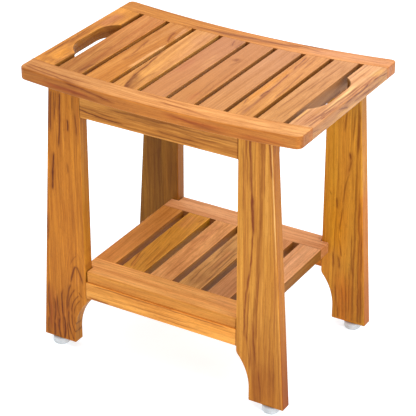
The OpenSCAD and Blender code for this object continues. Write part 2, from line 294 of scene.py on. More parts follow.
BOARDS = {}
for i in range(1, 9):
    BOARDS[f"seat_slat_{i}"] = board(f"seat_slat_{i}", rule_slat)
for n in ("seat_front_rail", "seat_rear_rail"):
    BOARDS[n] = board(n, rule_seat_rail)
for n in ("seat_left_end_board", "seat_right_end_board"):
    BOARDS[n] = board(n, rule_seat_end)
for n in ("leg_front_left", "leg_front_right", "leg_rear_left", "leg_rear_right"):
    BOARDS[n] = board(n, rule_leg)
for n in ("front_apron", "rear_apron"):
    BOARDS[n] = board(n, rule_apron)
for n in ("front_batten", "rear_batten"):
    BOARDS[n] = board(n, rule_batten)
for n in ("shelf_front_rail", "shelf_rear_rail"):
    BOARDS[n] = board(n, rule_shelf_rail)
for n in ["shelf_left_end_board", "shelf_right_end_board"] + [f"shelf_slat_{i}" for i in range(1, 5)]:
    BOARDS[n] = board(n, rule_shelf_board)
for n in ("front_stretcher", "rear_stretcher"):
    BOARDS[n] = board(n, rule_stretcher)


# ------------------------------------------------------------------ material helpers


def lin(c):
    """A display colour of 0 to 255 as linear light."""
    out = []
    for v in c:
        v = v / 255
        out.append(v / 12.92 if v <= 0.04045 else ((v + 0.055) / 1.055) ** 2.4)
    return (*out, 1.0)


class Net:
    """Short calls for building a node tree."""

    def __init__(self, tree):
        self.t = tree

    def add(self, kind, **props):
        n = self.t.nodes.new(kind)
        for k, v in props.items():
            setattr(n, k, v)
        return n

    def put(self, socket, value):
        if isinstance(value, bpy.types.NodeSocket):
            self.t.links.new(value, socket)
        elif value is not None:
            socket.default_value = value

    def math(self, op, a, b=None, c=None, clamp=False):
        n = self.add("ShaderNodeMath", operation=op, use_clamp=clamp)
        for s, v in zip(n.inputs, (a, b, c)):
            self.put(s, v)
        return n.outputs[0]

    def vec(self, op, a, b=None, c=None):
        n = self.add("ShaderNodeVectorMath", operation=op)
        self.put(n.inputs[0], a)
        if op == "SCALE":
            self.put(n.inputs["Scale"], b)
        else:
            self.put(n.inputs[1], b)
            self.put(n.inputs[2], c)
        return n.outputs["Value"] if op in ("DOT_PRODUCT", "LENGTH") else n.outputs["Vector"]

    def split(self, v):
        n = self.add("ShaderNodeSeparateXYZ")
        self.put(n.inputs[0], v)
        return n.outputs

    def join(self, x, y, z):
        n = self.add("ShaderNodeCombineXYZ")
        for s, v in zip(n.inputs, (x, y, z)):
            self.put(s, v)
        return n.outputs[0]

    def noise(self, vector=None, w=None, scale=1.0, detail=2.0, rough=0.5, dims="3D"):
        n = self.add("ShaderNodeTexNoise", noise_dimensions=dims)
        if dims != "1D":
            self.put(n.inputs["Vector"], vector)
        if dims in ("1D", "4D"):
            self.put(n.inputs["W"], w)
        n.inputs["Scale"].default_value = scale
        n.inputs["Detail"].default_value = detail
        n.inputs["Roughness"].default_value = rough
        return n

    def span(self, v, a, b, to0=0.0, to1=1.0, kind="SMOOTHSTEP"):
        n = self.add("ShaderNodeMapRange", interpolation_type=kind)
        n.clamp = True
        self.put(n.inputs["Value"], v)
        self.put(n.inputs["From Min"], a)
        self.put(n.inputs["From Max"], b)
        self.put(n.inputs["To Min"], to0)
        self.put(n.inputs["To Max"], to1)
        return n.outputs["Result"]

    def mix(self, f, a, b, blend="MIX"):
        n = self.add("ShaderNodeMix", data_type="RGBA", blend_type=blend)
        n.clamp_factor = True
        self.put(n.inputs["Factor"], f)
        self.put(n.inputs[6], a)
        self.put(n.inputs[7], b)
        return n.outputs[2]


def material(name):
    mat = bpy.data.materials.new(name)
    mat.use_nodes = True
    tree = mat.node_tree
    tree.nodes.clear()
    net = Net(tree)
    out = net.add("ShaderNodeOutputMaterial")
    shader = net.add("ShaderNodeBsdfPrincipled")
    tree.links.new(shader.outputs[0], out.inputs["Surface"])
    return mat, net, shader


# ------------------------------------------------------------------ teak


def teak_core():
    """Growth rings, fibres and pores in a log. In: a place in the log in mm, with Z along its pith."""
    g = bpy.data.node_groups.new("teak_core", "ShaderNodeTree")
    face = g.interface
    face.new_socket("Place", in_out="INPUT", socket_type="NodeSocketVector")
    for n in ("Seed", "Wobble", "Spacing"):
        face.new_socket(n, in_out="INPUT", socket_type="NodeSocketFloat")
    for n in ("Ring", "Band", "Streak", "Fibre", "Pore", "Macro", "Patch", "Sway", "Break", "Grain", "Mottle", "Fine"):
        face.new_socket(n, in_out="OUTPUT", socket_type="NodeSocketFloat")
    net = Net(g)
    gi = net.add("NodeGroupInput")
    go = net.add("NodeGroupOutput")
    place, seed, wobble, spacing = gi.outputs[0], gi.outputs[1], gi.outputs[2], gi.outputs[3]
    shift = net.vec("MULTIPLY", net.join(seed, seed, seed), (37.1, 53.3, 171.7))
    q = net.vec("ADD", place, shift)

    big = net.noise(net.vec("MULTIPLY", q, (1 / 55, 1 / 55, 1 / 190)), detail=2.0, rough=0.5).outputs["Color"]
    big = net.vec("SUBTRACT", big, (0.5, 0.5, 0.5))
    small = net.noise(net.vec("MULTIPLY", q, (1 / 9, 1 / 9, 1 / 48)), detail=2.0, rough=0.55).outputs["Color"]
    small = net.vec("SUBTRACT", small, (0.5, 0.5, 0.5))
    w2 = net.math("MULTIPLY", wobble, 2.0)
    w3 = net.math("MULTIPLY", wobble, 0.42)
    bent = net.vec("ADD", place, net.vec("SCALE", big, w2))
    bent = net.vec("ADD", bent, net.vec("SCALE", small, w3))
    bx, by, bz = net.split(bent)[:3]
    radius = net.math("SQRT", net.math("ADD", net.math("MULTIPLY", bx, bx), net.math("MULTIPLY", by, by)))

    drift = net.noise(w=net.math("ADD", net.math("MULTIPLY", radius, 1 / 24), seed), detail=1.0, dims="1D").outputs["Fac"]
    growth = net.math("ADD", net.math("DIVIDE", radius, spacing), net.math("MULTIPLY", drift, 2.2))
    f = net.math("FRACT", growth)
    k = net.math("FLOOR", growth)
    white = net.add("ShaderNodeTexWhiteNoise", noise_dimensions="1D")
    net.put(white.inputs["W"], net.math("ADD", k, net.math("MULTIPLY", seed, 7.7)))
    r = white.outputs["Value"]
    late = net.math("MULTIPLY", net.span(f, 0.25, 0.92), net.span(f, 0.94, 1.0, 1.0, 0.0))
    ring = net.math("MULTIPLY", late, net.math("ADD", 0.22, net.math("MULTIPLY", net.math("MULTIPLY", r, r), 0.78)))

    band = net.noise(w=net.math("ADD", net.math("MULTIPLY", radius, 1 / 15), net.math("MULTIPLY", seed, 3.1)), detail=3.0, rough=0.55, dims="1D").outputs["Fac"]

    sx, sy, sz = net.split(q)[:3]
    # streaks a few mm wide and a few hundred long that follow the bent grain
    line = net.join(net.math("MULTIPLY", net.math("ADD", radius, net.math("MULTIPLY", seed, 91.0)), 1 / 2.6),
                    net.math("MULTIPLY", sx, 1 / 30), net.math("MULTIPLY", sz, 1 / 170))
    streak = net.noise(line, detail=3.0, rough=0.6).outputs["Fac"]
    fibre = net.noise(net.vec("MULTIPLY", q, (1 / 0.75, 1 / 0.75, 1 / 42)), detail=3.0, rough=0.6).outputs["Fac"]
    pore = net.noise(net.vec("MULTIPLY", q, (1 / 0.42, 1 / 0.42, 1 / 5.5)), detail=1.0, rough=0.5).outputs["Fac"]
    pore = net.math("MULTIPLY", net.span(pore, 0.60, 0.70), net.math("SUBTRACT", 1.0, net.math("MULTIPLY", late, 0.6)))
    macro = net.noise(net.vec("MULTIPLY", q, (1 / 60, 1 / 60, 1 / 210)), detail=2.0, rough=0.5)
    patch = net.noise(net.vec("MULTIPLY", q, (1 / 13, 1 / 13, 1 / 85)), detail=2.0, rough=0.55).outputs["Fac"]
    # how far a single dark line sways from its course, and where it thins out
    sway = net.noise(net.vec("MULTIPLY", q, (1 / 16, 1 / 16, 1 / 34)), detail=3.0, rough=0.55).outputs["Fac"]
    sway = net.math("MULTIPLY", net.math("SUBTRACT", sway, 0.5), 5.0)
    fray = net.noise(net.vec("MULTIPLY", q, (1 / 2.2, 1 / 2.2, 1 / 26)), detail=2.0, rough=0.6).outputs["Fac"]

    grain = net.noise(net.vec("MULTIPLY", net.vec("ADD", bent, shift), (1 / 4.2, 1 / 4.2, 1 / 120)), detail=4.0, rough=0.68).outputs["Fac"]
    mottle = net.noise(net.vec("MULTIPLY", q, (1 / 5, 1 / 5, 1 / 13)), detail=3.0, rough=0.6).outputs["Fac"]

    fine = net.noise(net.vec("MULTIPLY", net.vec("ADD", bent, shift), (1 / 1.9, 1 / 1.9, 1 / 70)), detail=3.0, rough=0.62).outputs["Fac"]

    for s, v in zip(go.inputs, (ring, band, streak, fibre, pore, macro.outputs["Fac"], patch, sway, fray, grain, mottle, fine)):
        g.links.new(v, s)
    return g


def stroke_core():
    """One dark line in the wood. U runs across the board and V along it, in mm; the line's course is A + B V + C V V."""
    g = bpy.data.node_groups.new("teak_line", "ShaderNodeTree")
    names = ("U", "V", "Sway", "Break", "A", "B", "C", "Left", "Right", "Start", "End", "Fade0", "Fade1", "Strength")
    for n in names:
        g.interface.new_socket(n, in_out="INPUT", socket_type="NodeSocketFloat")
    for n in ("Mask", "Halo"):
        g.interface.new_socket(n, in_out="OUTPUT", socket_type="NodeSocketFloat")
    net = Net(g)
    gi = net.add("NodeGroupInput")
    go = net.add("NodeGroupOutput")
    i = {n: gi.outputs[k] for k, n in enumerate(names)}
    course = net.math("ADD", i["A"], net.math("MULTIPLY", i["V"], net.math("ADD", i["B"], net.math("MULTIPLY", i["C"], i["V"]))))
    d = net.math("ADD", net.math("SUBTRACT", i["U"], course), i["Sway"])
    rise = net.span(d, net.math("MULTIPLY", i["Left"], -1.0), 0.0)
    fall = net.span(d, 0.0, i["Right"], 1.0, 0.0)
    head = net.span(i["V"], i["Start"], net.math("ADD", i["Start"], i["Fade0"]))
    tail = net.span(i["V"], net.math("SUBTRACT", i["End"], i["Fade1"]), i["End"], 1.0, 0.0)
    ends = net.math("MULTIPLY", net.math("MULTIPLY", head, tail), i["Strength"])
    m = net.math("MULTIPLY", net.math("MULTIPLY", rise, fall), ends)
    g.links.new(net.math("MULTIPLY", m, i["Break"]), go.inputs[0])
    wide = net.math("MULTIPLY", net.span(d, net.math("MULTIPLY", i["Left"], -3.2), 0.0), net.span(d, 0.0, net.math("MULTIPLY", i["Right"], 3.2), 1.0, 0.0))
    g.links.new(net.math("MULTIPLY", wide, ends), go.inputs[1])
    return g


def arch_core():
    """Nested arches, where a flat-sawn face cuts the rings of a log whose pith dips away from it.
    U and V as for a line; the pith lies U0 across and D0 deep at V0, and Slope deeper for each mm along. Only rings from Least to Most show."""
    g = bpy.data.node_groups.new("teak_arch", "ShaderNodeTree")
    names = ("U", "V", "Sway", "Break", "U0", "V0", "D0", "Slope", "Spacing", "Seed", "Least", "Most")
    for n in names:
        g.interface.new_socket(n, in_out="INPUT", socket_type="NodeSocketFloat")
    g.interface.new_socket("Mask", in_out="OUTPUT", socket_type="NodeSocketFloat")
    net = Net(g)
    gi = net.add("NodeGroupInput")
    go = net.add("NodeGroupOutput")
    i = {n: gi.outputs[k] for k, n in enumerate(names)}
    u = net.math("ADD", net.math("SUBTRACT", i["U"], i["U0"]), net.math("MULTIPLY", i["Sway"], 0.55))
    d = net.math("ADD", i["D0"], net.math("MULTIPLY", i["Slope"], net.math("SUBTRACT", i["V"], i["V0"])))
    r = net.math("SQRT", net.math("ADD", net.math("MULTIPLY", u, u), net.math("MULTIPLY", d, d)))
    grow = net.math("DIVIDE", r, i["Spacing"])
    f = net.math("FRACT", grow)
    white = net.add("ShaderNodeTexWhiteNoise", noise_dimensions="1D")
    net.put(white.inputs["W"], net.math("ADD", net.math("FLOOR", grow), i["Seed"]))
    line = net.math("MULTIPLY", net.span(f, 0.42, 0.82), net.span(f, 0.84, 1.0, 1.0, 0.0))
    line = net.math("MULTIPLY", line, net.math("ADD", 0.35, net.math("MULTIPLY", white.outputs["Value"], 0.65)))
    line = net.math("MULTIPLY", line, net.span(r, net.math("SUBTRACT", i["Least"], 0.6), i["Least"]))
    line = net.math("MULTIPLY", line, net.span(r, i["Most"], net.math("ADD", i["Most"], 1.5), 1.0, 0.0))
    g.links.new(net.math("MULTIPLY", line, net.span(i["Break"], 0.30, 0.50, 0.6, 1.0)), go.inputs[0])
    return g


CORE = teak_core()
LINE = stroke_core()
ARCH = arch_core()
AXES = {"X": Vector((1, 0, 0)), "Y": Vector((0, 1, 0)), "Z": Vector((0, 0, 1))}


def course(points):
    """The parabola through three points (across, along)."""
    (u0, v0), (u1, v1), (u2, v2) = points
    d0, d1, d2 = (v0 - v1) * (v0 - v2), (v1 - v0) * (v1 - v2), (v2 - v0) * (v2 - v1)
    c = u0 / d0 + u1 / d1 + u2 / d2
    b = -(u0 * (v1 + v2) / d0 + u1 * (v0 + v2) / d1 + u2 * (v0 + v1) / d2)
    a = u0 * v1 * v2 / d0 + u1 * v0 * v2 / d1 + u2 * v0 * v1 / d2
    return a, b, c


def teak(name, grain, face, light, deep, dark, pith=(60, -40), at=0.0, lean=(0.0, 0.0), seed=1.0, wobble=3.0, spacing=5.0,
         ring=0.5, band=0.6, streak=0.35, fibre=0.10, figure=0.75, fine=0.45, strokes=(), shades=(), arches=(), rough=0.46, tint=None, tint_amount=0.0, gloss=0.2,
         side=(0.94, 0.86, 0.72), slope=None, painted_light_cast=None, painted_edge_highlight=0.0, joint_shade_end=None, back=None, hole=None):
    """A teak board's material. grain is the axis that its fibres follow, and face the direction that its show face
    looks.
    pith is how far the log's pith lies from the board's middle, in mm, across the face and out of it, and at how far
    along.
    lean turns the pith in the face and out of it, in degrees. Each of strokes is a darker line in frame millimetres:
    (axis across, three points (across, along), width to its lower side, width to its upper side, strength, fade at each
    end).
    On the seat's boards "D" is the depth below the curved top. shades are the same with a colour of their own at the
    end, and don't sway where a 0.0 follows it.
    side is what the colour is multiplied by on the faces beside the show face, as painted shade where it darkens them
    and painted light where it lightens them, or that at two places along (as cast), and slope (along0, factor0, along1,
    factor1), which paints light and shade along the board, on the legs darker towards the floor.
    cast is the same with a factor for each of red, green and blue, painted shade and light such as the seat's shade on
    the legs and a painted reflection on the seat. Each of arches is (axis across, across and along of a tip, depth and
    slope of the pith there, ring spacing, strength, faded in and out along from and to these four, least and largest
    radius). arris paints a highlight on the eased edges, and tips is the end where painted shade darkens the board at a
    joint.
    back is what the colour is multiplied by on the face that looks the other way, which cast and slope then leave
    alone.
    hole is what it is multiplied by on the face that looks to the middle of the seat or the shelf."""
    if "seat_slat" in name:
        # painted shade on the slats' side faces seen in the gaps, deeper for the slats further right; a painted
        # highlight on their eased edges; and a painted reflection that turns bluer towards the back
        side = ((0.98, 1.04, 0.78), (0.84, 0.90, 0.68), (0.90, 0.96, 0.66), (0.88, 0.90, 0.65),
                (0.80, 0.80, 0.58), (0.74, 0.70, 0.50), (0.68, 0.64, 0.42), (0.64, 0.56, 0.40))[int(name[-1]) - 1]
        painted_edge_highlight = (0.9, 0.9, 0.5, 0.55, 0.45, 0.5, 0.2, 0.0)[int(name[-1]) - 1]
        painted_light_cast = (-80, (0.95, 0.96, 0.95), 80, (0.97, 1.02, 1.36))
    elif "shelf_slat" in name:
        # painted shade on the shelf slats' side faces seen in the gaps, and a painted highlight on their eased edges
        side = ((0.52, 0.48, 0.17), (0.46, 0.39, 0.19), (0.47, 0.37, 0.15), (0.46, 0.38, 0.17))[int(name[-1]) - 1]
        painted_edge_highlight = 1.1
    lo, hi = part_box(name)
    mid = (lo + hi) * 500
    g = AXES[grain]
    n = Vector(face).normalized()
    u = g.cross(n)
    if grain == "Z":
        u = -u if u.x < 0 else u
    elif u.dot(Vector((1, 0, 0))) < -0.5 or u.dot(Vector((0, 0, 1))) < -0.5:
        u = -u
    across = Matrix.Rotation(math.radians(lean[0]), 3, n)
    out = Matrix.Rotation(math.radians(lean[1]), 3, u)
    axis = (out @ (across @ g)).normalized()
    beside = (u - axis * u.dot(axis)).normalized()
    rest = axis.cross(beside)
    frame_of_log = Matrix((beside, rest, axis)).transposed()
    origin = mid + u * pith[0] + n * pith[1] + g * at

    mat, net, shader = material("teak_" + name)
    tc = net.add("ShaderNodeTexCoord")
    place = net.add("ShaderNodeMapping", vector_type="TEXTURE")
    net.put(place.inputs["Vector"], tc.outputs["Object"])
    place.inputs["Location"].default_value = origin / 1000
    place.inputs["Rotation"].default_value = frame_of_log.to_euler("XYZ")
    place.inputs["Scale"].default_value = (0.001, 0.001, 0.001)
    core = net.add("ShaderNodeGroup")
    core.node_tree = CORE
    net.put(core.inputs["Place"], place.outputs[0])
    core.inputs["Seed"].default_value = seed
    core.inputs["Wobble"].default_value = wobble
    core.inputs["Spacing"].default_value = spacing
    o = core.outputs

    mm = net.split(net.vec("SCALE", tc.outputs["Object"], 1000.0))
    where = {"X": mm[0], "Y": mm[1], "Z": mm[2]}
    along = where[grain]
    if any(k[0] == "D" for k in (*strokes, *shades)):
        arc = net.math("MULTIPLY", net.math("MULTIPLY", mm[0], mm[0]), 0.5 / SEAT_R)
        where["D"] = net.math("SUBTRACT", net.math("SUBTRACT", mm[2], arc), SEAT_CZ - SEAT_R)

    # each line takes its place along the board from the one before it, which keeps few values waiting at a time
    spot = [net.math("MULTIPLY_ADD", o["Sway"], 0.000001, along)]
    whole = net.span(o["Break"], 0.30, 0.52, 0.55, 1.0)

    def mask(k):
        s = net.add("ShaderNodeGroup")
        s.node_tree = LINE
        net.put(s.inputs["U"], where[k[0]])
        net.put(s.inputs["V"], spot[-1])
        net.put(s.inputs["Sway"], o["Sway"] if len(k) < 8 else k[7])
        net.put(s.inputs["Break"], whole if len(k) < 8 else 1.0)
        pts = sorted(k[1], key=lambda p: p[1])
        fade = k[5] if isinstance(k[5], tuple) else (k[5], k[5])
        if k[1][0][1] > k[1][2][1]:
            fade = fade[::-1]
        wide, strong = (1.0, 1.0) if len(k) > 6 else (1.55, 1.2)
        values = (*course(pts), k[2] * wide, k[3] * wide, pts[0][1], pts[2][1], *fade, min(1.0, k[4] * strong))
        for socket, v in zip(("A", "B", "C", "Left", "Right", "Start", "End", "Fade0", "Fade1", "Strength"), values):
            s.inputs[socket].default_value = v
        spot.append(net.math("MULTIPLY_ADD", s.outputs[0], 0.000001, spot[0]))
        return s.outputs

    c = net.mix(net.math("MULTIPLY", net.span(o["Band"], 0.32, 0.68), band), lin(light), lin(deep))
    if tint is not None:
        c = net.mix(net.math("MULTIPLY", net.span(o["Patch"], 0.42, 0.66), tint_amount), c, lin(tint))
    for k in shades:
        c = net.mix(mask(k)[0], c, lin(k[6]))
    c = net.mix(net.math("MULTIPLY", net.span(o["Streak"], 0.50, 0.74), streak), c, lin(dark))
    fade = net.span(o["Macro"], 0.36, 0.58, 0.45, 1.0)
    c = net.mix(net.math("MULTIPLY", net.math("MULTIPLY", o["Ring"], fade), ring), c, lin(dark))
    # fine lengthwise figure and mottling
    c = net.mix(net.math("MULTIPLY", net.span(o["Grain"], 0.40, 0.66), figure), c, net.vec("MULTIPLY", c, (0.76, 0.66, 0.54)))
    c = net.mix(net.math("MULTIPLY", net.span(o["Grain"], 0.30, 0.44, 1.0, 0.0), figure * 0.8), c, net.vec("MULTIPLY", c, (1.13, 1.15, 1.10)))
    c = net.mix(net.math("MULTIPLY", net.span(o["Mottle"], 0.45, 0.68), figure * 0.5), c, net.vec("MULTIPLY", c, (0.84, 0.78, 0.72)))
    c = net.mix(net.math("MULTIPLY", net.span(o["Fine"], 0.47, 0.66), fine), c, net.vec("MULTIPLY", c, (0.78, 0.66, 0.50)))
    c = net.mix(net.math("MULTIPLY", net.span(o["Fine"], 0.36, 0.50, 1.0, 0.0), fine * 0.8), c, net.vec("MULTIPLY", c, (1.16, 1.17, 1.06)))
    deepest = lin([dark[0] * 0.84, dark[1] * 0.72, dark[2] * 0.70])
    for k in arches:
        s = net.add("ShaderNodeGroup")
        s.node_tree = ARCH
        for socket, v in zip(("U", "V", "Sway", "Break"), (where[k[0]], spot[-1], o["Sway"], o["Break"])):
            net.put(s.inputs[socket], v)
        for socket, v in zip(("U0", "V0", "D0", "Slope", "Spacing", "Seed", "Least", "Most"), (*k[1], *k[2], k[3], seed, *k[6])):
            s.inputs[socket].default_value = v
        v0, v1, v2, v3 = k[5]
        reach = net.math("MULTIPLY", net.span(along, v0, v1), net.span(along, v2, v3, 1.0, 0.0))
        c = net.mix(net.math("MULTIPLY", net.math("MULTIPLY", s.outputs[0], reach), k[4]), c, lin([dark[0] * 1.06, dark[1] * 0.92, dark[2]]))
    if strokes:
        # how much of the board's own tone is left in and beside the dark lines
        inside, beside_it = 1.0, 1.0
        for k in strokes:
            line = mask(k)
            inside = net.math("MULTIPLY", inside, net.math("SUBTRACT", 1.0, line[0]))
            beside_it = net.math("MULTIPLY", beside_it, net.math("MULTIPLY_ADD", line[1], -0.42, 1.0))
        c = net.mix(beside_it, net.vec("MULTIPLY", c, (0.72, 0.60, 0.48)), c)
        c = net.mix(inside, deepest, c)
    s = net.span(o["Fibre"], 0.25, 0.75, 1.0 - fibre, 1.0 + fibre, kind="LINEAR")
    s = net.math("MULTIPLY", s, net.span(o["Macro"], 0.3, 0.7, 0.96, 1.04, kind="LINEAR"))
    turned = net.vec("DOT_PRODUCT", tc.outputs["Normal"], tuple(n))
    front = net.span(turned, -0.75, -0.35) if back else 1.0
    # painted shade: slope changes the brightness along the board, on the legs darker towards the floor
    if slope:
        f = net.span(along, slope[0], slope[2], slope[1], slope[3])
        if back:
            f = net.math("MULTIPLY_ADD", front, net.math("SUBTRACT", f, 1.0), 1.0)
        s = net.math("MULTIPLY", s, f)
    c = net.vec("SCALE", c, s)
    # painted light and shade: a tint along the board, such as the seat's shade on the tops of the legs and a bluish
    # painted reflection on the seat's boards
    if painted_light_cast:
        shaded = net.vec("MULTIPLY", c, net.mix(net.span(along, painted_light_cast[0], painted_light_cast[2], kind="LINEAR"), (*painted_light_cast[1], 1), (*painted_light_cast[3], 1)))
        c = net.mix(front, c, shaded) if back else shaded
    c = net.mix(net.math("MULTIPLY", o["Pore"], 0.30), c, lin([v * 0.55 for v in dark]))
    # painted shade and light: side darkens or lightens the faces beside the show face for how the light falls on them,
    # deepest in the gaps; end grain, further down, soaks up more oil and is darker
    look = net.math("ABSOLUTE", turned)
    if len(side) == 4:
        side = net.mix(net.span(along, side[0], side[2], kind="LINEAR"), (*side[1], 1), (*side[3], 1))
    c = net.mix(net.span(look, 0.5, 0.95, 1.0, 0.0), c, net.vec("MULTIPLY", c, side))
    if back:
        c = net.mix(net.span(turned, -0.95, -0.5, 1.0, 0.0), c, net.vec("MULTIPLY", c, back))
    # painted shade on the face that looks inward, seen deep in a hand hole or a gap
    if hole:
        inner = (-math.copysign(1.0, mid.x), 0, 0) if grain == "Y" else (0, -math.copysign(1.0, mid.y), 0)
        inward = net.vec("DOT_PRODUCT", tc.outputs["Normal"], inner)
        c = net.mix(net.span(inward, 0.25, 0.5), c, net.vec("MULTIPLY", c, hole))
    # painted highlight on the eased edges, where the normal lies between two faces
    if painted_edge_highlight:
        edge_highlight_mask = net.math("MULTIPLY", net.span(look, 0.25, 0.6), net.span(look, 0.90, 0.985, 1.0, 0.0))
        c = net.mix(net.math("MULTIPLY", edge_highlight_mask, painted_edge_highlight), c, net.vec("MULTIPLY", c, (1.35, 1.42, 1.55)))
    # painted shade in the joint, darkening the last mm or two of the board at its ends
    if joint_shade_end:
        away = net.math("ABSOLUTE", along)
        c = net.mix(net.span(away, joint_shade_end - 1.8, joint_shade_end - 0.3, 0.0, 0.75), c, net.vec("MULTIPLY", c, (0.50, 0.40, 0.34)))
    cut = net.math("ABSOLUTE", net.vec("DOT_PRODUCT", tc.outputs["Normal"], tuple(g)))
    c = net.mix(net.span(cut, 0.55, 0.95, 0.0, 0.5), c, net.vec("MULTIPLY", c, (0.50, 0.42, 0.36)))
    net.put(shader.inputs["Base Color"], c)

    rg = net.math("ADD", rough, net.math("MULTIPLY", o["Ring"], 0.06))
    rg = net.math("ADD", rg, net.span(o["Fibre"], 0.3, 0.7, -0.03, 0.05, kind="LINEAR"))
    net.put(shader.inputs["Roughness"], net.math("ADD", rg, net.math("MULTIPLY", o["Pore"], 0.15), clamp=True))
    shader.inputs["Specular IOR Level"].default_value = gloss
    shader.inputs["IOR"].default_value = 1.47

    h = net.math("MULTIPLY", o["Fibre"], 0.35)
    h = net.math("SUBTRACT", h, net.math("MULTIPLY", o["Pore"], 0.8))
    h = net.math("ADD", h, net.math("MULTIPLY", o["Ring"], 0.25))
    bump = net.add("ShaderNodeBump")
    bump.inputs["Strength"].default_value = 0.5
    bump.inputs["Distance"].default_value = 0.00012
    net.put(bump.inputs["Height"], h)
    net.put(shader.inputs["Normal"], bump.outputs[0])
    BOARDS[name].data.materials.append(mat)
    return mat


# Tones of oiled teak, as display colours.
BLUSH, PEACH, HONEY, GOLD = (216, 164, 114), (214, 152, 90), (208, 140, 62), (214, 142, 52)
ROSE, TAN, AMBER, CLAY = (198, 134, 80), (188, 124, 66), (194, 118, 38), (184, 116, 56)
OCHRE, RUST, UMBER, OLIVE = (178, 106, 32), (168, 96, 40), (158, 92, 30), (150, 100, 40)
BROWN, COCOA, PLUM, BARK = (140, 82, 26), (148, 92, 48), (142, 86, 66), (112, 56, 16)

UP, FRONT = (0, 0, 1), (0, -1, 0)

# --- seat: frame of the panel

teak("seat_front_rail", "X", UP, PEACH, CLAY, UMBER, pith=(70, -30), seed=2.3, wobble=2.0, spacing=4.0, ring=0.35, streak=0.3,
     band=0.55, side=(0.84, 0.63, 0.30), slope=(-190, 0.86, 60, 1.12), painted_light_cast=(120, (1.0, 1.0, 1.0), 215, (1.01, 1.06, 1.14)),
     strokes=[("Y", [(-131, -224), (-133, -180), (-134, -95)], 2.2, 1.0, 0.75, (10, 60)),
              ("Y", [(-139, -222), (-141, -185), (-146, -120)], 2.2, 1.0, 0.75, (8, 30)),
              ("Y", [(-117, -60), (-119, -10), (-126, 60)], 1.6, 0.8, 0.45, 30),
              ("Y", [(-127, -10), (-132, 40), (-141, 95)], 3.0, 1.0, 0.55, (20, 30)),
              ("D", [(-2, -150), (-5, -110), (-12, -60)], 2.2, 1.0, 0.7, (12, 20)),
              ("D", [(-9, -180), (-12, -130), (-16, -80)], 3.0, 1.5, 0.45, 25),
              ("D", [(-4, 10), (-10, 60), (-17, 120)], 2.5, 1.2, 0.45, 30)],
     shades=[("D", [(-11, -200), (-12, -150), (-13, -90)], 6.0, 5.0, 0.75, 35, (190, 96, 40)),
             ("D", [(-7, 0), (-9, 60), (-10, 130)], 6.0, 5.0, 0.60, 40, (190, 98, 42)),
             ("D", [(-12, 120), (-13, 160), (-12, 215)], 6.0, 5.0, 0.50, 30, (186, 98, 44)),
             ("Y", [(-131, 223.2), (-131, 225), (-131, 227)], 16.0, 16.0, 0.6, (1.2, 0.1), (176, 128, 96))])
teak("seat_rear_rail", "X", UP, (209, 145, 84), (194, 126, 72), COCOA, pith=(60, -30), seed=5.1, wobble=2.0, spacing=4.0, ring=0.3, streak=0.25,
     band=0.6, hole=(0.62, 0.58, 0.48), slope=(-200, 0.88, 120, 1.12), painted_light_cast=(-130, (1.0, 0.92, 0.58), 60, (1.0, 0.98, 1.0)),
     strokes=[("Y", [(121, -110), (124, -60), (131, 20)], 4.0, 2.5, 0.55, 30),
              ("Y", [(122, 0), (130, 40), (138, 90)], 3.0, 1.5, 0.5, 20),
              ("Y", [(144, 70), (145, 95), (145, 120)], 3.0, 2.0, 0.8, 14),
              ("Y", [(140, 40), (134, 90), (128, 120)], 2.0, 1.5, 0.4, 15)],
     shades=[("Y", [(124, -80), (128, 10), (132, 90)], 9.0, 9.0, 0.5, 40, (146, 96, 80)),
             ("Y", [(130, 70), (130, 140), (130, 224)], 20.0, 20.0, 0.75, (40, 1), (206, 150, 112)),
             ("Y", [(124, 223.2), (124, 225), (124, 227)], 8.0, 10.0, 0.6, (1.2, 0.1), (186, 130, 104))])
teak("seat_left_end_board", "Y", UP, HONEY, OCHRE, BROWN, pith=(8, -34), lean=(0, 2.0), seed=3.7, wobble=4, spacing=5.0, ring=0.3,
     band=0.5, streak=0.35, side=(0.62, 0.62, 0.52),
     strokes=[("X", [(-218, -112), (-216, -40), (-219, 40)], 2.0, 1.4, 0.65, 30),
              ("X", [(-214, -70), (-213, 0), (-214, 60)], 1.6, 1.0, 0.4, 30),
              ("X", [(-191, -112), (-190, -90), (-189, -60)], 1.2, 0.8, 0.5, 10),
              ("X", [(-224, 80), (-206, 86), (-188, 72)], 2.0, 1.5, 0.0, 5)],
     shades=[("X", [(-203, -100), (-202, -75), (-202, -48)], 12.0, 12.0, 0.9, 18, GOLD),
             ("X", [(-212, 30), (-209, 66), (-208, 100)], 18.0, 20.0, 0.8, 20, (174, 108, 74)),
             ("X", [(-204, -112), (-204, -104), (-204, -92)], 20.0, 20.0, 0.4, 8, UMBER)])
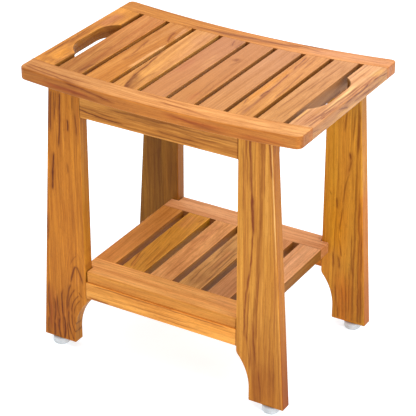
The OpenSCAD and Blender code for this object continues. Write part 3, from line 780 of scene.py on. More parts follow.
teak("seat_right_end_board", "Y", UP, BLUSH, ROSE, PLUM, pith=(-50, -30), seed=8.2, wobble=3, spacing=5.0, ring=0.4,
     band=0.55, side=(0.70, 0.63, 0.52), hole=(0.62, 0.62, 0.42), painted_light_cast=(-100, (1.09, 1.10, 1.12), 60, (1.12, 1.16, 1.28)),
     strokes=[("X", [(213, -112), (216, -40), (219, 60)], 2.5, 1.5, 0.6, 40),
              ("X", [(217, -112), (219, -80), (220, -30)], 2.0, 1.5, 0.6, (4, 24)),
              ("X", [(209, -112), (212, -92), (213, -70)], 2.0, 1.5, 0.30, (4, 14)),
              ("X", [(222, -100), (223, 0), (223, 100)], 2.0, 1.0, 0.5, 40),
              ("X", [(206, -112), (209, -70), (212, -10)], 1.5, 1.0, 0.4, 25),
              ("X", [(196, -112), (195, -80), (194, -60)], 1.5, 1.0, 0.4, 15),
              ("X", [(216.5, -77), (217, -70), (217.5, -62)], 0.8, 0.7, 0.8, 4),
              ("X", [(221.5, -86), (222, -80), (222.5, -73)], 0.8, 0.7, 0.7, 4),
              ("D", [(-3.0, -24), (-3.1, 15), (-3.3, 53)], 1.1, 0.9, 0.83, (14, 4)),
              ("D", [(-7.0, -114), (-8.5, -104), (-10, -92)], 0.8, 0.8, 0.6, (3, 8)),
              ("D", [(-8.5, -92), (-8.7, -60), (-8.0, -24)], 0.7, 0.7, 0.4, 14),
              ("D", [(-4.0, -40), (-8.0, -24), (-13, -8)], 1.0, 0.9, 0.62, 6),
              ("D", [(-10.5, 6), (-11, 36), (-11.5, 64)], 0.9, 0.8, 0.75, 10),
              ("D", [(-1.5, 66), (-4.5, 92), (-7.3, 113)], 0.9, 0.8, 0.75, (8, 2)),
              ("D", [(-15.5, -112), (-16, -90), (-16.5, -60)], 0.7, 0.7, 0.4, (3, 12)),
              ("D", [(-14, 40), (-15, 70), (-15.5, 112)], 0.6, 0.6, 0.35, (12, 3))],
     shades=[("X", [(205, -112), (206, -90), (207, -60)], 16.0, 16.0, 0.5, (2, 26), (196, 138, 100)),
             ("X", [(214, -58), (213, 0), (212, 48)], 6.0, 6.0, 0.7, 24, (248, 204, 138)),
             ("D", [(-5, -36), (-9, -18), (-14, -4)], 3.5, 3.5, 0.5, 8, (166, 116, 84)),
             ("D", [(-12, -46), (-12.5, -30), (-13, -14)], 1.4, 1.4, 0.8, 8, (255, 200, 118)),
             ("D", [(-6, 10), (-6.5, 30), (-7, 60)], 1.3, 1.3, 0.75, 12, (250, 190, 122)),
             ("D", [(-15.5, -62), (-15.5, -20), (-15, 24)], 1.6, 1.6, 0.7, 14, (252, 194, 106)),
             ("D", [(-12, -112), (-13.5, -84), (-15, -58)], 1.3, 1.3, 0.6, 10, (248, 186, 104)),
             ("D", [(-8, 66), (-10.5, 88), (-13, 110)], 1.6, 1.4, 0.6, 10, (248, 190, 118)),
             ("X", [(191, -100), (192, -78), (190, -60)], 3.0, 4.0, 0.8, 12, (224, 170, 96)),
             ("X", [(216, 70), (221, 92), (222, 112)], 7.0, 7.0, 0.8, 14, (224, 176, 100)),
             ("X", [(215, -60), (217, 10), (218, 60)], 3.0, 4.0, 0.6, 30, (222, 172, 100))])

# --- seat: slats, from left to right

teak("seat_slat_1", "Y", UP, (190, 125, 60), RUST, BROWN, pith=(34, -30), lean=(4, 0), seed=11.9, wobble=4.0, spacing=6.0, ring=0.25, streak=0.25,
     slope=(-110, 0.84, 90, 1.16),
     strokes=[("X", [(-150, -112), (-146, -90), (-142, -70)], 2.0, 1.5, 0.6, 12),
              ("X", [(-170, -95), (-176, -70), (-172, -40)], 1.2, 1.0, 0.35, 15),
              ("X", [(-166, -60), (-163, -35), (-150, 0)], 3.0, 2.0, 0.25, 20)],
     shades=[("X", [(-152, -112), (-148, -30), (-141, 10)], 9.0, 9.0, 0.45, 30, RUST)])
teak("seat_slat_2", "Y", UP, (204, 136, 64), OCHRE, UMBER, pith=(22, -26), lean=(-3, 0), seed=13.6, wobble=4.0, spacing=5.0, ring=0.3, streak=0.25,
     strokes=[("X", [(-119, -20), (-122, 10), (-127, 44)], 1.8, 1.2, 0.60, 10),
              ("X", [(-117, 10), (-122, 24), (-123, 36)], 1.0, 1.0, 0.35, 8),
              ("X", [(-130, 60), (-133, 80), (-134, 105)], 1.4, 1.4, 0.35, 14),
              ("X", [(-108, 90), (-105, 65), (-97, 46)], 2.2, 2.0, 0.75, 9),
              ("X", [(-118, -45), (-117, -25), (-114, -5)], 1.8, 1.5, 0.4, 10)],
     shades=[("X", [(-102, 110), (-100, 84), (-96, 62)], 4.0, 8.0, 0.85, 10, PEACH),
             ("X", [(-99, -60), (-98, 0), (-96, 44)], 3.5, 6.0, 0.95, 14, (226, 164, 100)),
             ("X", [(-118, 110), (-116, 90), (-114, 70)], 14.0, 14.0, 0.4, 14, TAN)])
teak("seat_slat_3", "Y", UP, (218, 152, 76), ROSE, BROWN, pith=(-24, -34), lean=(4, 0), seed=15.3, wobble=2.5, spacing=6.0, ring=0.22, streak=0.18,
     strokes=[("X", [(-67.5, -114), (-75, -88), (-79.5, -60)], 2.6, 4.4, 0.95, (1, 12)),
              ("X", [(-78.5, -72), (-81, -36), (-86, 4)], 1.7, 1.6, 0.90, (8, 16)),
              ("X", [(-86, -6), (-88, 12), (-90, 30)], 1.2, 1.4, 0.6, 8),
              ("X", [(-83, -70), (-84, -50), (-87, -20)], 0.8, 0.8, 0.35, 12),
              ("X", [(-60, -100), (-61, -70), (-57, -40)], 1.2, 3.0, 0.35, 16)],
     shades=[("X", [(-65, -116), (-71, -90), (-75, -62)], 3.0, 17.0, 0.8, (1, 22), COCOA),
             ("X", [(-60, -116), (-62, -98), (-64, -84)], 9.0, 16.0, 0.4, (1, 14), UMBER),
             ("X", [(-56, 20), (-58, -10), (-58, -50)], 3.0, 2.0, 0.35, 20, OCHRE),
             ("X", [(-66, 58), (-66, 80), (-66, 112)], 18.0, 18.0, 0.5, 18, ROSE)])
teak("seat_slat_4", "Y", UP, (195, 131, 78), (184, 118, 68), PLUM, figure=0.4, fine=0.25, pith=(40, -30), lean=(-3, 0), seed=17.0, wobble=3.0, spacing=5.0, ring=0.18, streak=0.15, band=0.5,
     strokes=[("X", [(-21, 112), (-17, 98), (-12, 86)], 1.4, 1.2, 0.5, 8),
              ("X", [(-6, 112), (-5, 98), (-4, 82)], 1.6, 1.2, 0.4, 8)],
     shades=[("X", [(-33, -40), (-34, -5), (-38, 30)], 12.0, 12.0, 0.45, 25, (190, 112, 70)),
             ("X", [(-12, -10), (-14, 30), (-14, 60)], 8.0, 10.0, 0.5, 25, PEACH)])
teak("seat_slat_5", "Y", UP, (196, 132, 76), (184, 118, 62), COCOA, figure=0.35, fine=0.25, pith=(-30, -34), lean=(2, 0), seed=18.9, wobble=3.0, spacing=5.0, ring=0.2, streak=0.2,
     strokes=[("X", [(17, 38), (18, 47), (19, 57)], 4.5, 4.5, 0.6, 9),
              ("X", [(30, -100), (28, -60), (26, -20)], 1.4, 1.2, 0.3, 20),
              ("X", [(37, -80), (36, -30), (35, 30)], 1.2, 1.0, 0.25, 25),
              ("X", [(20, 20), (22, 34), (30, 52)], 2.0, 2.0, 0.25, 12)],
     shades=[("X", [(31, -112), (30, -92), (29, -66)], 8.0, 8.0, 0.5, 16, (188, 108, 58))])
teak("seat_slat_6", "Y", UP, (202, 140, 86), (186, 124, 70), COCOA, figure=0.35, fine=0.3, pith=(-60, -30), lean=(0, 0), seed=20.5, wobble=1.6, spacing=4.0, ring=0.25, streak=0.3,
     strokes=[("X", [(80, 112), (82, 100), (84, 90)], 1.2, 1.0, 0.3, 8)])
teak("seat_slat_7", "Y", UP, (212, 146, 78), ROSE, PLUM, pith=(-14, -26), lean=(2, 0), seed=22.1, wobble=4.0, spacing=4.5, ring=0.36, streak=0.4, band=0.5, slope=(-110, 0.96, 100, 1.06),
     strokes=[("X", [(107, 50), (105, 75), (101, 110)], 1.4, 1.2, 0.7, 14),
              ("X", [(112, -40), (111, 0), (107, 45)], 1.3, 1.0, 0.65, 14),
              ("X", [(112, -52), (111, -40), (112, -24)], 2.0, 1.5, 0.7, 6),
              ("X", [(131, -50), (128, 0), (124, 60)], 1.2, 1.0, 0.45, 20),
              ("X", [(118, -85), (116, -60), (117, -20)], 1.2, 1.0, 0.45, 16),
              ("X", [(103, -85), (100, -72), (99, -58)], 1.4, 1.2, 0.5, 8),
              ("X", [(119, 60), (117, 85), (116, 112)], 1.2, 1.0, 0.4, 14),
              ("X", [(106, 112), (109, 85), (110, 60)], 1.0, 1.0, 0.45, 14)],
     shades=[("X", [(101, -75), (102, -30), (103, 60)], 7.0, 7.0, 0.8, 25, (222, 148, 62)),
             ("X", [(115, -112), (112, -96), (108, -76)], 14.0, 14.0, 0.5, 12, (176, 112, 66))])
teak("seat_slat_8", "Y", UP, (208, 147, 88), (192, 132, 74), COCOA, pith=(14, -22), lean=(0, 3.0), at=-60, seed=24.4, wobble=3.0, spacing=4.0, ring=0.32, streak=0.18, band=0.4, figure=0.5, fine=0.35,
     strokes=[("X", [(151, -90), (154, -20), (156, 60)], 0.9, 1.4, 0.45, 30),
              ("X", [(158, -20), (161, 40), (162, 112)], 0.9, 1.4, 0.45, 30),
              ("X", [(171, -112), (172, -30), (168, 60)], 1.4, 0.9, 0.40, 30),
              ("X", [(165, -112), (166, -70), (168, -20)], 1.2, 0.9, 0.35, 20),
              ("X", [(150, 60), (152, 90), (153, 112)], 1.0, 1.0, 0.35, 10)],
     # painted shade: a dark band low on the slat's side face along the hand hole stands for the dark space below the
     # slat
     shades=[("D", [(-20.2, -44), (-20.2, 10), (-20.2, 56)], 4.0, 4.2, 0.95, 4, (158, 92, 16), 0.0)])

# --- legs and the rails between them

# painted shade: the seat's shade darkens the top of this leg and slope darkens it towards the floor; its eased edges
# get a painted highlight
teak("leg_front_left", "Z", FRONT, (204, 126, 38), (186, 110, 32), (116, 54, 20), pith=(50, -30), seed=31.2, wobble=3.0, spacing=5.0, ring=0.3, streak=0.35, gloss=0.12, fine=0.55, figure=0.6, painted_edge_highlight=0.6,
     side=(0.82, 0.95, 1.08), slope=(20, 0.90, 190, 1.03), painted_light_cast=(170, (1.0, 1.0, 1.0), 400, (0.90, 0.90, 0.84)), back=(1.0, 1.02, 1.12),
     strokes=[("X", [(-160.5, 424), (-162, 385), (-166.5, 332)], 1.4, 1.2, 0.85, (4, 14)),
              ("X", [(-171, 424), (-171, 405), (-172, 372)], 1.1, 1.0, 0.65, (4, 14)),
              ("X", [(-176, 424), (-177, 400), (-179, 352)], 1.5, 1.2, 0.6, (4, 16)),
              ("X", [(-180.5, 424), (-181, 396), (-183, 356)], 1.3, 1.2, 0.5, (4, 16)),
              ("X", [(-167, 424), (-168, 408), (-168, 392)], 0.9, 0.9, 0.5, (4, 10)),
              ("X", [(-149, 386), (-148.8, 376), (-149.4, 364)], 1.2, 1.1, 0.9, 5),
              ("X", [(-136, 399), (-135, 380), (-134.5, 360)], 1.3, 1.1, 0.6, 9),
              ("X", [(-141, 425), (-140, 412), (-140, 398)], 1.2, 1.1, 0.4, 8),
              ("X", [(-174.5, 330), (-176, 306), (-178, 286)], 1.8, 1.4, 0.85, 9),
              ("X", [(-176, 300), (-178.5, 282), (-180.5, 262)], 2.4, 1.6, 0.9, 8),
              ("X", [(-188.5, 302), (-190, 286), (-191.5, 268)], 1.9, 1.5, 0.6, 8),
              ("X", [(-153, 318), (-152, 308), (-152.5, 296)], 1.6, 1.4, 0.4, 8),
              ("X", [(-190.5, 226), (-191.5, 205), (-193, 172)], 1.6, 1.4, 0.65, 12),
              ("X", [(-202, 134), (-203, 118), (-203.5, 98)], 1.4, 1.2, 0.6, 10),
              ("X", [(-144, 147), (-150.5, 132), (-155, 112)], 1.9, 1.7, 0.72, (3, 10)),
              ("X", [(-143, 147), (-137, 134), (-133, 114)], 1.7, 1.8, 0.62, (3, 12)),
              ("X", [(-154, 116), (-160.5, 88), (-163, 62)], 1.7, 1.5, 0.66, (8, 12)),
              ("X", [(-142, 166), (-151, 154), (-156, 140)], 1.0, 1.0, 0.34, (4, 12)),
              ("X", [(-146, 108), (-155, 92), (-159, 66)], 1.3, 1.2, 0.62, (6, 12)),
              ("X", [(-159, 70), (-160.5, 44), (-152, 14)], 1.5, 1.3, 0.72, (10, 4)),
              ("X", [(-140, 98), (-150, 84), (-153.5, 60)], 1.2, 1.1, 0.66, (4, 10)),
              ("X", [(-153.5, 64), (-154, 44), (-147, 26)], 1.2, 1.0, 0.62, (8, 6)),
              ("X", [(-138, 90), (-147, 76), (-149, 58)], 1.0, 1.0, 0.6, (3, 10)),
              ("X", [(-148.5, 60), (-149, 48), (-144, 38)], 1.0, 0.9, 0.5, (6, 5)),
              ("X", [(-141, 104), (-137, 97), (-133, 93)], 1.2, 1.2, 0.55, (3, 4)),
              ("X", [(-168, 104), (-172, 78), (-170, 50)], 2.0, 1.6, 0.72, (14, 10)),
              ("X", [(-170.5, 56), (-168, 34), (-170, 12)], 2.2, 1.8, 0.8, (8, 3)),
              ("X", [(-178, 92), (-181, 70), (-177, 44)], 1.7, 1.5, 0.66, (14, 10)),
              ("X", [(-177.5, 50), (-179, 30), (-176, 12)], 2.0, 1.6, 0.75, (8, 3)),
              ("X", [(-186, 84), (-185, 58), (-188, 34)], 1.6, 1.6, 0.62, (14, 10)),
              ("X", [(-188, 40), (-186, 26), (-188, 12)], 2.2, 1.8, 0.7, (8, 3)),
              ("X", [(-193, 112), (-196, 80), (-195, 40)], 1.8, 1.6, 0.6, (18, 12)),
              ("X", [(-196, 46), (-198, 28), (-197, 12)], 2.4, 2.0, 0.66, (8, 3)),
              ("X", [(-163, 46), (-163.5, 30), (-161, 12)], 1.2, 1.0, 0.66, (8, 3))],
     arches=[("X", (-143, 146), (26, 0.10), 2.203, 0.34, (6, 16, 158, 205), (26.4, 90))],
     # the wide dark shades at the foot, this first one and the one at -190, are partly the wood's tone and partly
     # painted shade towards the floor
     shades=[("X", [(-150, 90), (-176, 44), (-176, 8)], 26.0, 34.0, 0.35, 30, (152, 70, 22)),
             ("X", [(-184, 100), (-183, 60), (-183, 13)], 1.6, 1.8, 0.8, 14, (214, 122, 40)),
             ("X", [(-174, 84), (-176, 50), (-174, 13)], 1.5, 1.5, 0.7, 12, (208, 118, 36)),
             ("X", [(-165, 90), (-166.5, 54), (-165, 13)], 2.0, 2.0, 0.8, 14, (218, 132, 42)),
             ("X", [(-157, 74), (-157, 40), (-151, 20)], 1.6, 1.6, 0.7, 10, (212, 126, 40)),
             ("X", [(-192, 90), (-192, 50), (-192.5, 13)], 1.6, 1.6, 0.6, 14, (200, 108, 40)),
             ("X", [(-203, 70), (-204, 40), (-204.5, 13)], 1.8, 2.2, 0.6, 14, (192, 98, 44)),
             ("X", [(-190, 110), (-193, 60), (-196, 12)], 9.0, 10.0, 0.5, 30, (146, 62, 28)),
             ("X", [(-143, 134), (-143, 122), (-143, 110)], 5.0, 5.0, 0.5, 8, (206, 126, 56)),
             ("X", [(-180, 430), (-179, 400), (-182, 350)], 7.0, 8.0, 0.6, 24, (150, 84, 34)),
             ("X", [(-155, 430), (-156, 380), (-158, 320)], 3.5, 3.5, 0.6, (1, 30), (222, 142, 50)),
             ("X", [(-184, 330), (-186, 300), (-187, 260)], 2.6, 2.6, 0.6, 20, (216, 134, 52)),
             ("X", [(-130, 430), (-131, 400), (-132, 340)], 6.0, 6.0, 0.5, 30, (166, 92, 36))])
# painted shade: side and slope darken this leg towards the floor, most on its right face; its eased edges get a painted
# highlight
teak("leg_front_right", "Z", FRONT, (220, 152, 62), (190, 118, 42), (142, 64, 30), pith=(50, -30), seed=33.9, wobble=2.5, spacing=5.0, ring=0.25, streak=0.3, gloss=0.12, fine=0.5, figure=0.55, painted_edge_highlight=0.6,
     side=(30, (0.56, 0.35, 0.09), 210, (0.66, 0.55, 0.31)), painted_light_cast=(30, (1.12, 0.98, 0.84), 150, (1.0, 1.0, 1.0)), slope=(20, 0.70, 190, 1.01), back=(0.98, 1.0, 1.1),
     strokes=[("X", [(147, 428), (148, 385), (151, 325)], 1.8, 1.5, 0.65, (1, 20)),
              ("X", [(149.5, 350), (152.5, 318), (153.5, 278)], 2.6, 2.2, 0.98, 16),
              ("X", [(153, 292), (150, 240), (145, 190)], 1.6, 1.6, 0.75, 16),
              ("X", [(147, 205), (141.5, 160), (142, 110)], 1.5, 1.5, 0.65, 16),
              ("X", [(150, 200), (147, 160), (146, 100)], 1.2, 1.2, 0.5, 16),
              ("X", [(143, 130), (148, 95), (152, 60)], 1.4, 1.4, 0.4, 16),
              ("X", [(166, 240), (162, 180), (161, 110)], 1.2, 1.2, 0.45, 20),
              ("X", [(176, 430), (178, 405), (181, 372)], 1.5, 1.2, 0.6, (1, 12)),
              ("X", [(175, 230), (173, 150), (176, 60)], 1.2, 1.0, 0.30, 30),
              ("X", [(184, 180), (182, 110), (184, 40)], 1.4, 1.0, 0.30, 30),
              ("X", [(136, 420), (137, 370), (138, 310)], 1.4, 1.2, 0.35, 20),
              ("X", [(141, 428), (142, 400), (143, 350)], 1.2, 1.1, 0.4, (1, 20)),
              ("X", [(168, 428), (168.5, 390), (170, 340)], 1.4, 1.1, 0.45, (1, 20)),
              ("X", [(156, 150), (157, 110), (161, 70)], 1.4, 1.3, 0.5, 20),
              ("X", [(187, 110), (189, 70), (191, 30)], 1.4, 1.2, 0.4, 20),
              ("X", [(165, 70), (168, 44), (170, 14)], 1.6, 1.3, 0.4, (14, 3))],
     shades=[("X", [(175.4, 436), (187.8, 232), (201.1, 13)], 1.3, 1.0, 0.5, 1, (156, 88, 46), 0.0),
             # these two light lines along the leg's outer right edge are a painted highlight
             ("X", [(178.3, 436), (190.7, 232), (204.0, 13)], 1.4, 1.2, 0.45, 1, (236, 164, 92), 0.0),
             ("X", [(178.3, 436), (184.4, 336), (190.7, 232)], 1.4, 1.4, 0.75, (1, 70), (250, 200, 130), 0.0),
             ("X", [(163, 430), (164.5, 360), (164, 270)], 5.0, 4.5, 0.70, (1, 30), (146, 80, 28)),
             ("X", [(164, 300), (161, 210), (156.5, 140)], 5.5, 5.5, 0.70, 25, (148, 82, 28)),
             ("X", [(157, 160), (156.5, 100), (160, 12)], 6.0, 5.5, 0.60, (20, 1), (150, 80, 28)),
             ("X", [(157, 430), (158, 380), (159, 320)], 4.0, 4.0, 0.75, (1, 30), (224, 150, 62)),
             ("X", [(172, 430), (173, 350), (176, 260)], 5.0, 7.0, 0.8, (1, 40), (226, 158, 72)),
             ("X", [(168, 240), (168, 190), (167, 120)], 3.0, 5.0, 0.6, 30, (222, 152, 66)),
             ("X", [(148, 428), (150, 380), (153, 300)], 4.0, 3.0, 0.6, (1, 30), (160, 92, 48)),
             ("X", [(187, 240), (189, 180), (190, 110)], 3.0, 3.0, 0.5, 40, (170, 100, 50)),
             ("X", [(150, 130), (152, 90), (156, 60)], 3.0, 3.0, 0.5, 24, (166, 92, 44)),
             # the wide dark shade at the foot is partly the wood's tone and partly painted shade towards the floor
             ("X", [(170, 90), (172, 50), (172, 8)], 22.0, 30.0, 0.4, 30, (160, 80, 26))])
# painted shade: the seat's shade darkens the top of this leg, and side and slope darken it towards the floor
teak("leg_rear_right", "Z", FRONT, (216, 151, 50), (196, 124, 40), (130, 66, 22), pith=(30, -36), seed=38.8, wobble=4.0, spacing=6.0, ring=0.25, streak=0.3, gloss=0.12, fine=0.5, figure=0.55, painted_edge_highlight=0.35,
     side=(30, (0.82, 0.55, 0.36), 170, (0.85, 0.81, 0.96)), painted_light_cast=(330, (1.0, 1.0, 1.0), 392, (0.74, 0.78, 0.95)), slope=(20, 0.80, 170, 1.02), back=(0.95, 0.90, 1.15),
     strokes=[("X", [(168, 304), (170, 296), (172, 286)], 2.1, 1.7, 0.63, 8),
              ("X", [(173, 292), (171, 280), (168, 266)], 1.8, 1.5, 0.55, 9),
              ("X", [(170, 270), (164, 240), (161, 205)], 1.3, 1.1, 0.44, 18),
              ("X", [(161, 215), (159, 190), (156, 158)], 1.3, 1.1, 0.55, 18),
              ("X", [(151, 224), (151, 212), (152, 200)], 2.1, 1.8, 0.55, 8),
              ("X", [(137, 232), (139, 228), (142, 222)], 1.5, 1.5, 0.37, 4),
              ("X", [(163, 372), (160, 350), (158, 325)], 1.6, 1.4, 0.48, 18),
              ("X", [(181, 388), (181, 340), (181.5, 290)], 2.3, 2.1, 0.55, 30),
              ("X", [(175, 385), (174, 350), (172, 310)], 1.4, 1.1, 0.37, 24),
              ("X", [(181, 300), (182, 190), (184, 14)], 1.8, 1.8, 0.46, (45, 3)),
              ("X", [(187, 250), (190, 150), (193, 14)], 1.7, 1.5, 0.5, (45, 3)),
              ("X", [(193, 190), (195.5, 110), (198, 14)], 1.4, 1.3, 0.46, (40, 3)),
              ("X", [(178, 170), (179, 130), (182, 90)], 1.2, 1.1, 0.45, 20),
              ("X", [(156, 160), (160, 136), (162, 122)], 1.2, 1.1, 0.45, (16, 4)),
              ("X", [(152, 76), (157, 46), (160, 14)], 1.4, 1.2, 0.45, (14, 3)),
              ("X", [(170, 100), (172, 60), (175, 14)], 1.5, 1.3, 0.45, (16, 3)),
              ("X", [(146, 130), (148, 116), (150, 98)], 2.1, 1.7, 0.55, 9),
              ("X", [(155, 126), (158, 112), (160, 98)], 1.7, 1.5, 0.55, 9),
              ("X", [(150, 290), (152, 240), (152, 226)], 1.1, 1.0, 0.22, 24),
              ("X", [(163, 80), (166, 50), (168, 12)], 1.8, 1.5, 0.37, 18),
              ("X", [(176, 120), (177, 70), (178, 14)], 1.6, 1.4, 0.33, 24)],
     shades=[("X", [(136, 420), (140, 260), (148, 110)], 16.0, 22.0, 0.6, (1, 60), (212, 152, 40)),
             ("X", [(150, 230), (154, 165), (158, 100)], 16.0, 20.0, 0.45, 50, (236, 156, 26)),
             ("X", [(191, 250), (194, 120), (196, 10)], 9.0, 9.0, 0.55, 30, (194, 100, 24)),
             ("X", [(172, 308), (170, 285), (166, 255)], 7.0, 7.0, 0.45, 14, RUST),
             # the wide shade at the foot is partly the wood's tone and partly painted shade towards the floor
             ("X", [(162, 110), (168, 50), (170, 4)], 24.0, 30.0, 0.48, (50, 8), (222, 112, 26))])
# painted shade: this leg's dark front tones are partly a darker board and partly painted shade from the seat above;
# side and back lighten its other faces
teak("leg_rear_left", "Z", FRONT, (144, 95, 25), (120, 75, 16), (90, 52, 14), pith=(40, -30), seed=35.4, wobble=3.0, spacing=5.0, ring=0.3, streak=0.35, gloss=0.12, fine=0.6, painted_edge_highlight=0.35,
     side=(1.22, 1.10, 1.5), back=(1.66, 1.44, 1.9),
     strokes=[("X", [(-150, 382), (-146, 350), (-141, 300)], 1.4, 1.2, 0.5, 14),
              ("X", [(-152, 382), (-157, 350), (-160, 300)], 1.4, 1.2, 0.45, 14),
              ("X", [(-138, 380), (-137, 340), (-137, 290)], 1.2, 1.1, 0.4, 20)])
teak("front_apron", "X", FRONT, (214, 146, 68), (184, 112, 38), (124, 66, 18), pith=(40, -30), seed=41.7, wobble=3.0, spacing=4.5, ring=0.4, streak=0.45, gloss=0.12,
     side=(1.0, 0.9, 0.7),
     fine=0.7, joint_shade_end=127.75,
     strokes=[("Z", [(417, -90), (417, 10), (416, 128)], 1.3, 1.2, 0.55, (30, 1)),
              ("Z", [(406, -130), (401, -90), (399, -50)], 1.5, 1.2, 0.8, (1, 16)),
              ("Z", [(410, -130), (408, -100), (404, -60)], 1.0, 1.0, 0.5, (1, 20)),
              ("Z", [(405, -10), (402, 30), (403, 70)], 1.6, 2.0, 0.6, 20),
              ("Z", [(411, 30), (409, 60), (410, 110)], 1.2, 1.0, 0.5, 20),
              ("Z", [(396, -30), (396, 20), (395, 80)], 1.0, 1.0, 0.45, 20),
              ("Z", [(410, -60), (411, -20), (410, 20)], 1.0, 1.0, 0.4, 20)],
     # the first shade below, a light band along the rounded bottom edge, is a painted highlight lit from the floor
     shades=[("Z", [(394, -128), (394, 0), (394, 128)], 3.0, 4.0, 0.8, 1, (220, 150, 66)),
             ("Z", [(419, -100), (418, -20), (419, 70)], 6.0, 8.0, 0.5, 40, BROWN)])
teak("rear_apron", "X", FRONT, AMBER, OCHRE, BROWN, pith=(40, -30), seed=43.1, wobble=3.0, spacing=4.5, ring=0.4, streak=0.4, gloss=0.15)
teak("front_batten", "X", FRONT, AMBER, OCHRE, BROWN, pith=(30, -30), seed=45.5, wobble=3.0, spacing=4.5, ring=0.4, streak=0.4, gloss=0.15)
# painted shade: this batten's grey-brown tones stand for the shade under the seat
teak("rear_batten", "X", FRONT, (176, 124, 80), (160, 110, 70), COCOA, pith=(50, -30), seed=47.9, wobble=3.0, spacing=4.5, ring=0.4, streak=0.4, gloss=0.15)

# --- shelf

SUN, SHELL = (244, 180, 104), (240, 178, 128)
teak("shelf_front_rail", "X", UP, SUN, (224, 142, 66), CLAY, pith=(60, -30), seed=51.7, wobble=2.0, spacing=4.0, ring=0.15, streak=0.15, band=0.6, gloss=0.15,
     side=(0.86, 0.78, 0.5),
     shades=[("Y", [(-108, 60), (-112, 95), (-118, 125)], 16.0, 14.0, 0.5, 30, (216, 146, 96)),
             ("Y", [(-122, -125), (-120, -60), (-122, 20)], 4.0, 4.0, 0.35, 40, (218, 130, 62))])
teak("shelf_rear_rail", "X", UP, (236, 174, 122), (216, 148, 94), (170, 110, 70), pith=(60, -30), seed=53.1, wobble=2.0, spacing=4.0, ring=0.2, streak=0.2, gloss=0.15,
     hole=(0.46, 0.42, 0.32))
teak("shelf_left_end_board", "Y", UP, (220, 148, 72), (202, 130, 58), UMBER, pith=(20, -30), seed=61.7, wobble=3.0, spacing=5.0, ring=0.15, streak=0.2, gloss=0.15,
     hole=(0.56, 0.55, 0.31), slope=(-90, 1.06, 90, 0.86))
teak("shelf_slat_1", "Y", UP, (222, 158, 58), (208, 142, 52), (150, 96, 34), pith=(30, -40), lean=(6, 0), seed=65.5, wobble=2.5, spacing=3.2, ring=0.35, streak=0.3, gloss=0.15,
     strokes=[("X", [(-92, -30), (-87, -60), (-80, -96)], 1.0, 1.0, 0.6, 12),
              ("X", [(-84, -40), (-80, -66), (-75, -96)], 0.9, 0.9, 0.45, 12),
              ("X", [(-76, -10), (-72, -50), (-68, -96)], 0.9, 0.9, 0.45, 16),
              ("X", [(-66, 10), (-62, -40), (-60, -90)], 0.9, 0.9, 0.40, 16),
              ("X", [(-88, 40), (-84, 20), (-80, 0)], 0.9, 0.9, 0.35, 12),
              ("X", [(-64, 72), (-62, 80), (-60, 92)], 1.4, 1.4, 0.4, 6)],
     shades=[("X", [(-78, 40), (-80, 65), (-80, 96)], 14.0, 20.0, 0.6, 16, (204, 132, 76)),
             ("X", [(-90, -50), (-84, -74), (-76, -98)], 5.0, 8.0, 0.5, 12, (194, 112, 56))])
teak("shelf_slat_2", "Y", UP, (234, 170, 106), (216, 150, 90), CLAY, pith=(20, -30), lean=(0, 4), seed=67.5, wobble=5.0, spacing=5.0, ring=0.25, streak=0.2, gloss=0.15,
     strokes=[("X", [(-20, -96), (-21, -60), (-18, -30)], 1.2, 1.2, 0.45, 14),
              ("X", [(-38, 10), (-36, 30), (-32, 50)], 3.0, 3.0, 0.25, 10),
              ("X", [(-30, 60), (-24, 78), (-28, 92)], 1.4, 1.4, 0.3, 6)],
     shades=[("X", [(-30, 20), (-28, 50), (-30, 92)], 7.0, 7.0, 0.5, 14, (214, 140, 88))])
teak("shelf_slat_3", "Y", UP, (222, 168, 98), (206, 150, 92), (146, 102, 66), pith=(-6, -24), lean=(0, 2.5), at=60, seed=69.5, wobble=3.0, spacing=4.0, ring=0.35, streak=0.3, gloss=0.15,
     strokes=[("X", [(13, 80), (14, 30), (16, -20)], 1.2, 1.0, 0.55, 16),
              ("X", [(16, -10), (16, -50), (20, -92)], 1.2, 1.2, 0.55, 16),
              ("X", [(28, 40), (30, 0), (31, -60)], 1.0, 1.0, 0.45, 16),
              ("X", [(36, 30), (37, -20), (39, -80)], 1.4, 1.2, 0.55, 16),
              ("X", [(22, 20), (23, -30), (26, -80)], 0.9, 0.9, 0.35, 16)],
     shades=[("X", [(28, -96), (28, -78), (28, -50)], 16.0, 18.0, 0.55, 16, (176, 116, 66)),
             ("X", [(30, -50), (28, -10), (24, 30)], 8.0, 8.0, 0.45, 16, (196, 126, 80))])
teak("shelf_slat_4", "Y", UP, (220, 158, 104), (204, 140, 90), RUST, pith=(30, -30), seed=71.5, wobble=3.0, spacing=5.0, ring=0.12, streak=0.15, gloss=0.15,
     slope=(-90, 0.86, 20, 1.04))
teak("shelf_right_end_board", "Y", UP, (246, 188, 138), (232, 162, 102), CLAY, pith=(20, -30), seed=63.1, wobble=3.0, spacing=5.0, ring=0.12, streak=0.12, gloss=0.15,
     side=(0.32, 0.25, 0.09))
teak("front_stretcher", "X", FRONT, (246, 172, 84), (230, 150, 62), OCHRE, pith=(30, -40), seed=75.7, wobble=2.0, spacing=4.0, ring=0.3, streak=0.35, gloss=0.12,
     slope=(-120, 0.92, 40, 1.10), fine=0.7, joint_shade_end=127.75,
     strokes=[("Z", [(99, -125), (99, -105), (99, -85)], 1.2, 1.2, 0.8, 8),
              ("Z", [(121, -120), (122, 0), (121, 120)], 1.4, 1.2, 0.6, 20),
              ("Z", [(110, -60), (108, 0), (110, 60)], 1.0, 1.0, 0.4, 30),
              ("Z", [(104, -30), (103, 30), (104, 100)], 1.0, 1.0, 0.4, 30)])
teak("rear_stretcher", "X", FRONT, AMBER, OCHRE, BROWN, pith=(30, -40), seed=77.1, wobble=2.0, spacing=4.0, ring=0.3, streak=0.35, gloss=0.12)

# ------------------------------------------------------------------ feet and hardware


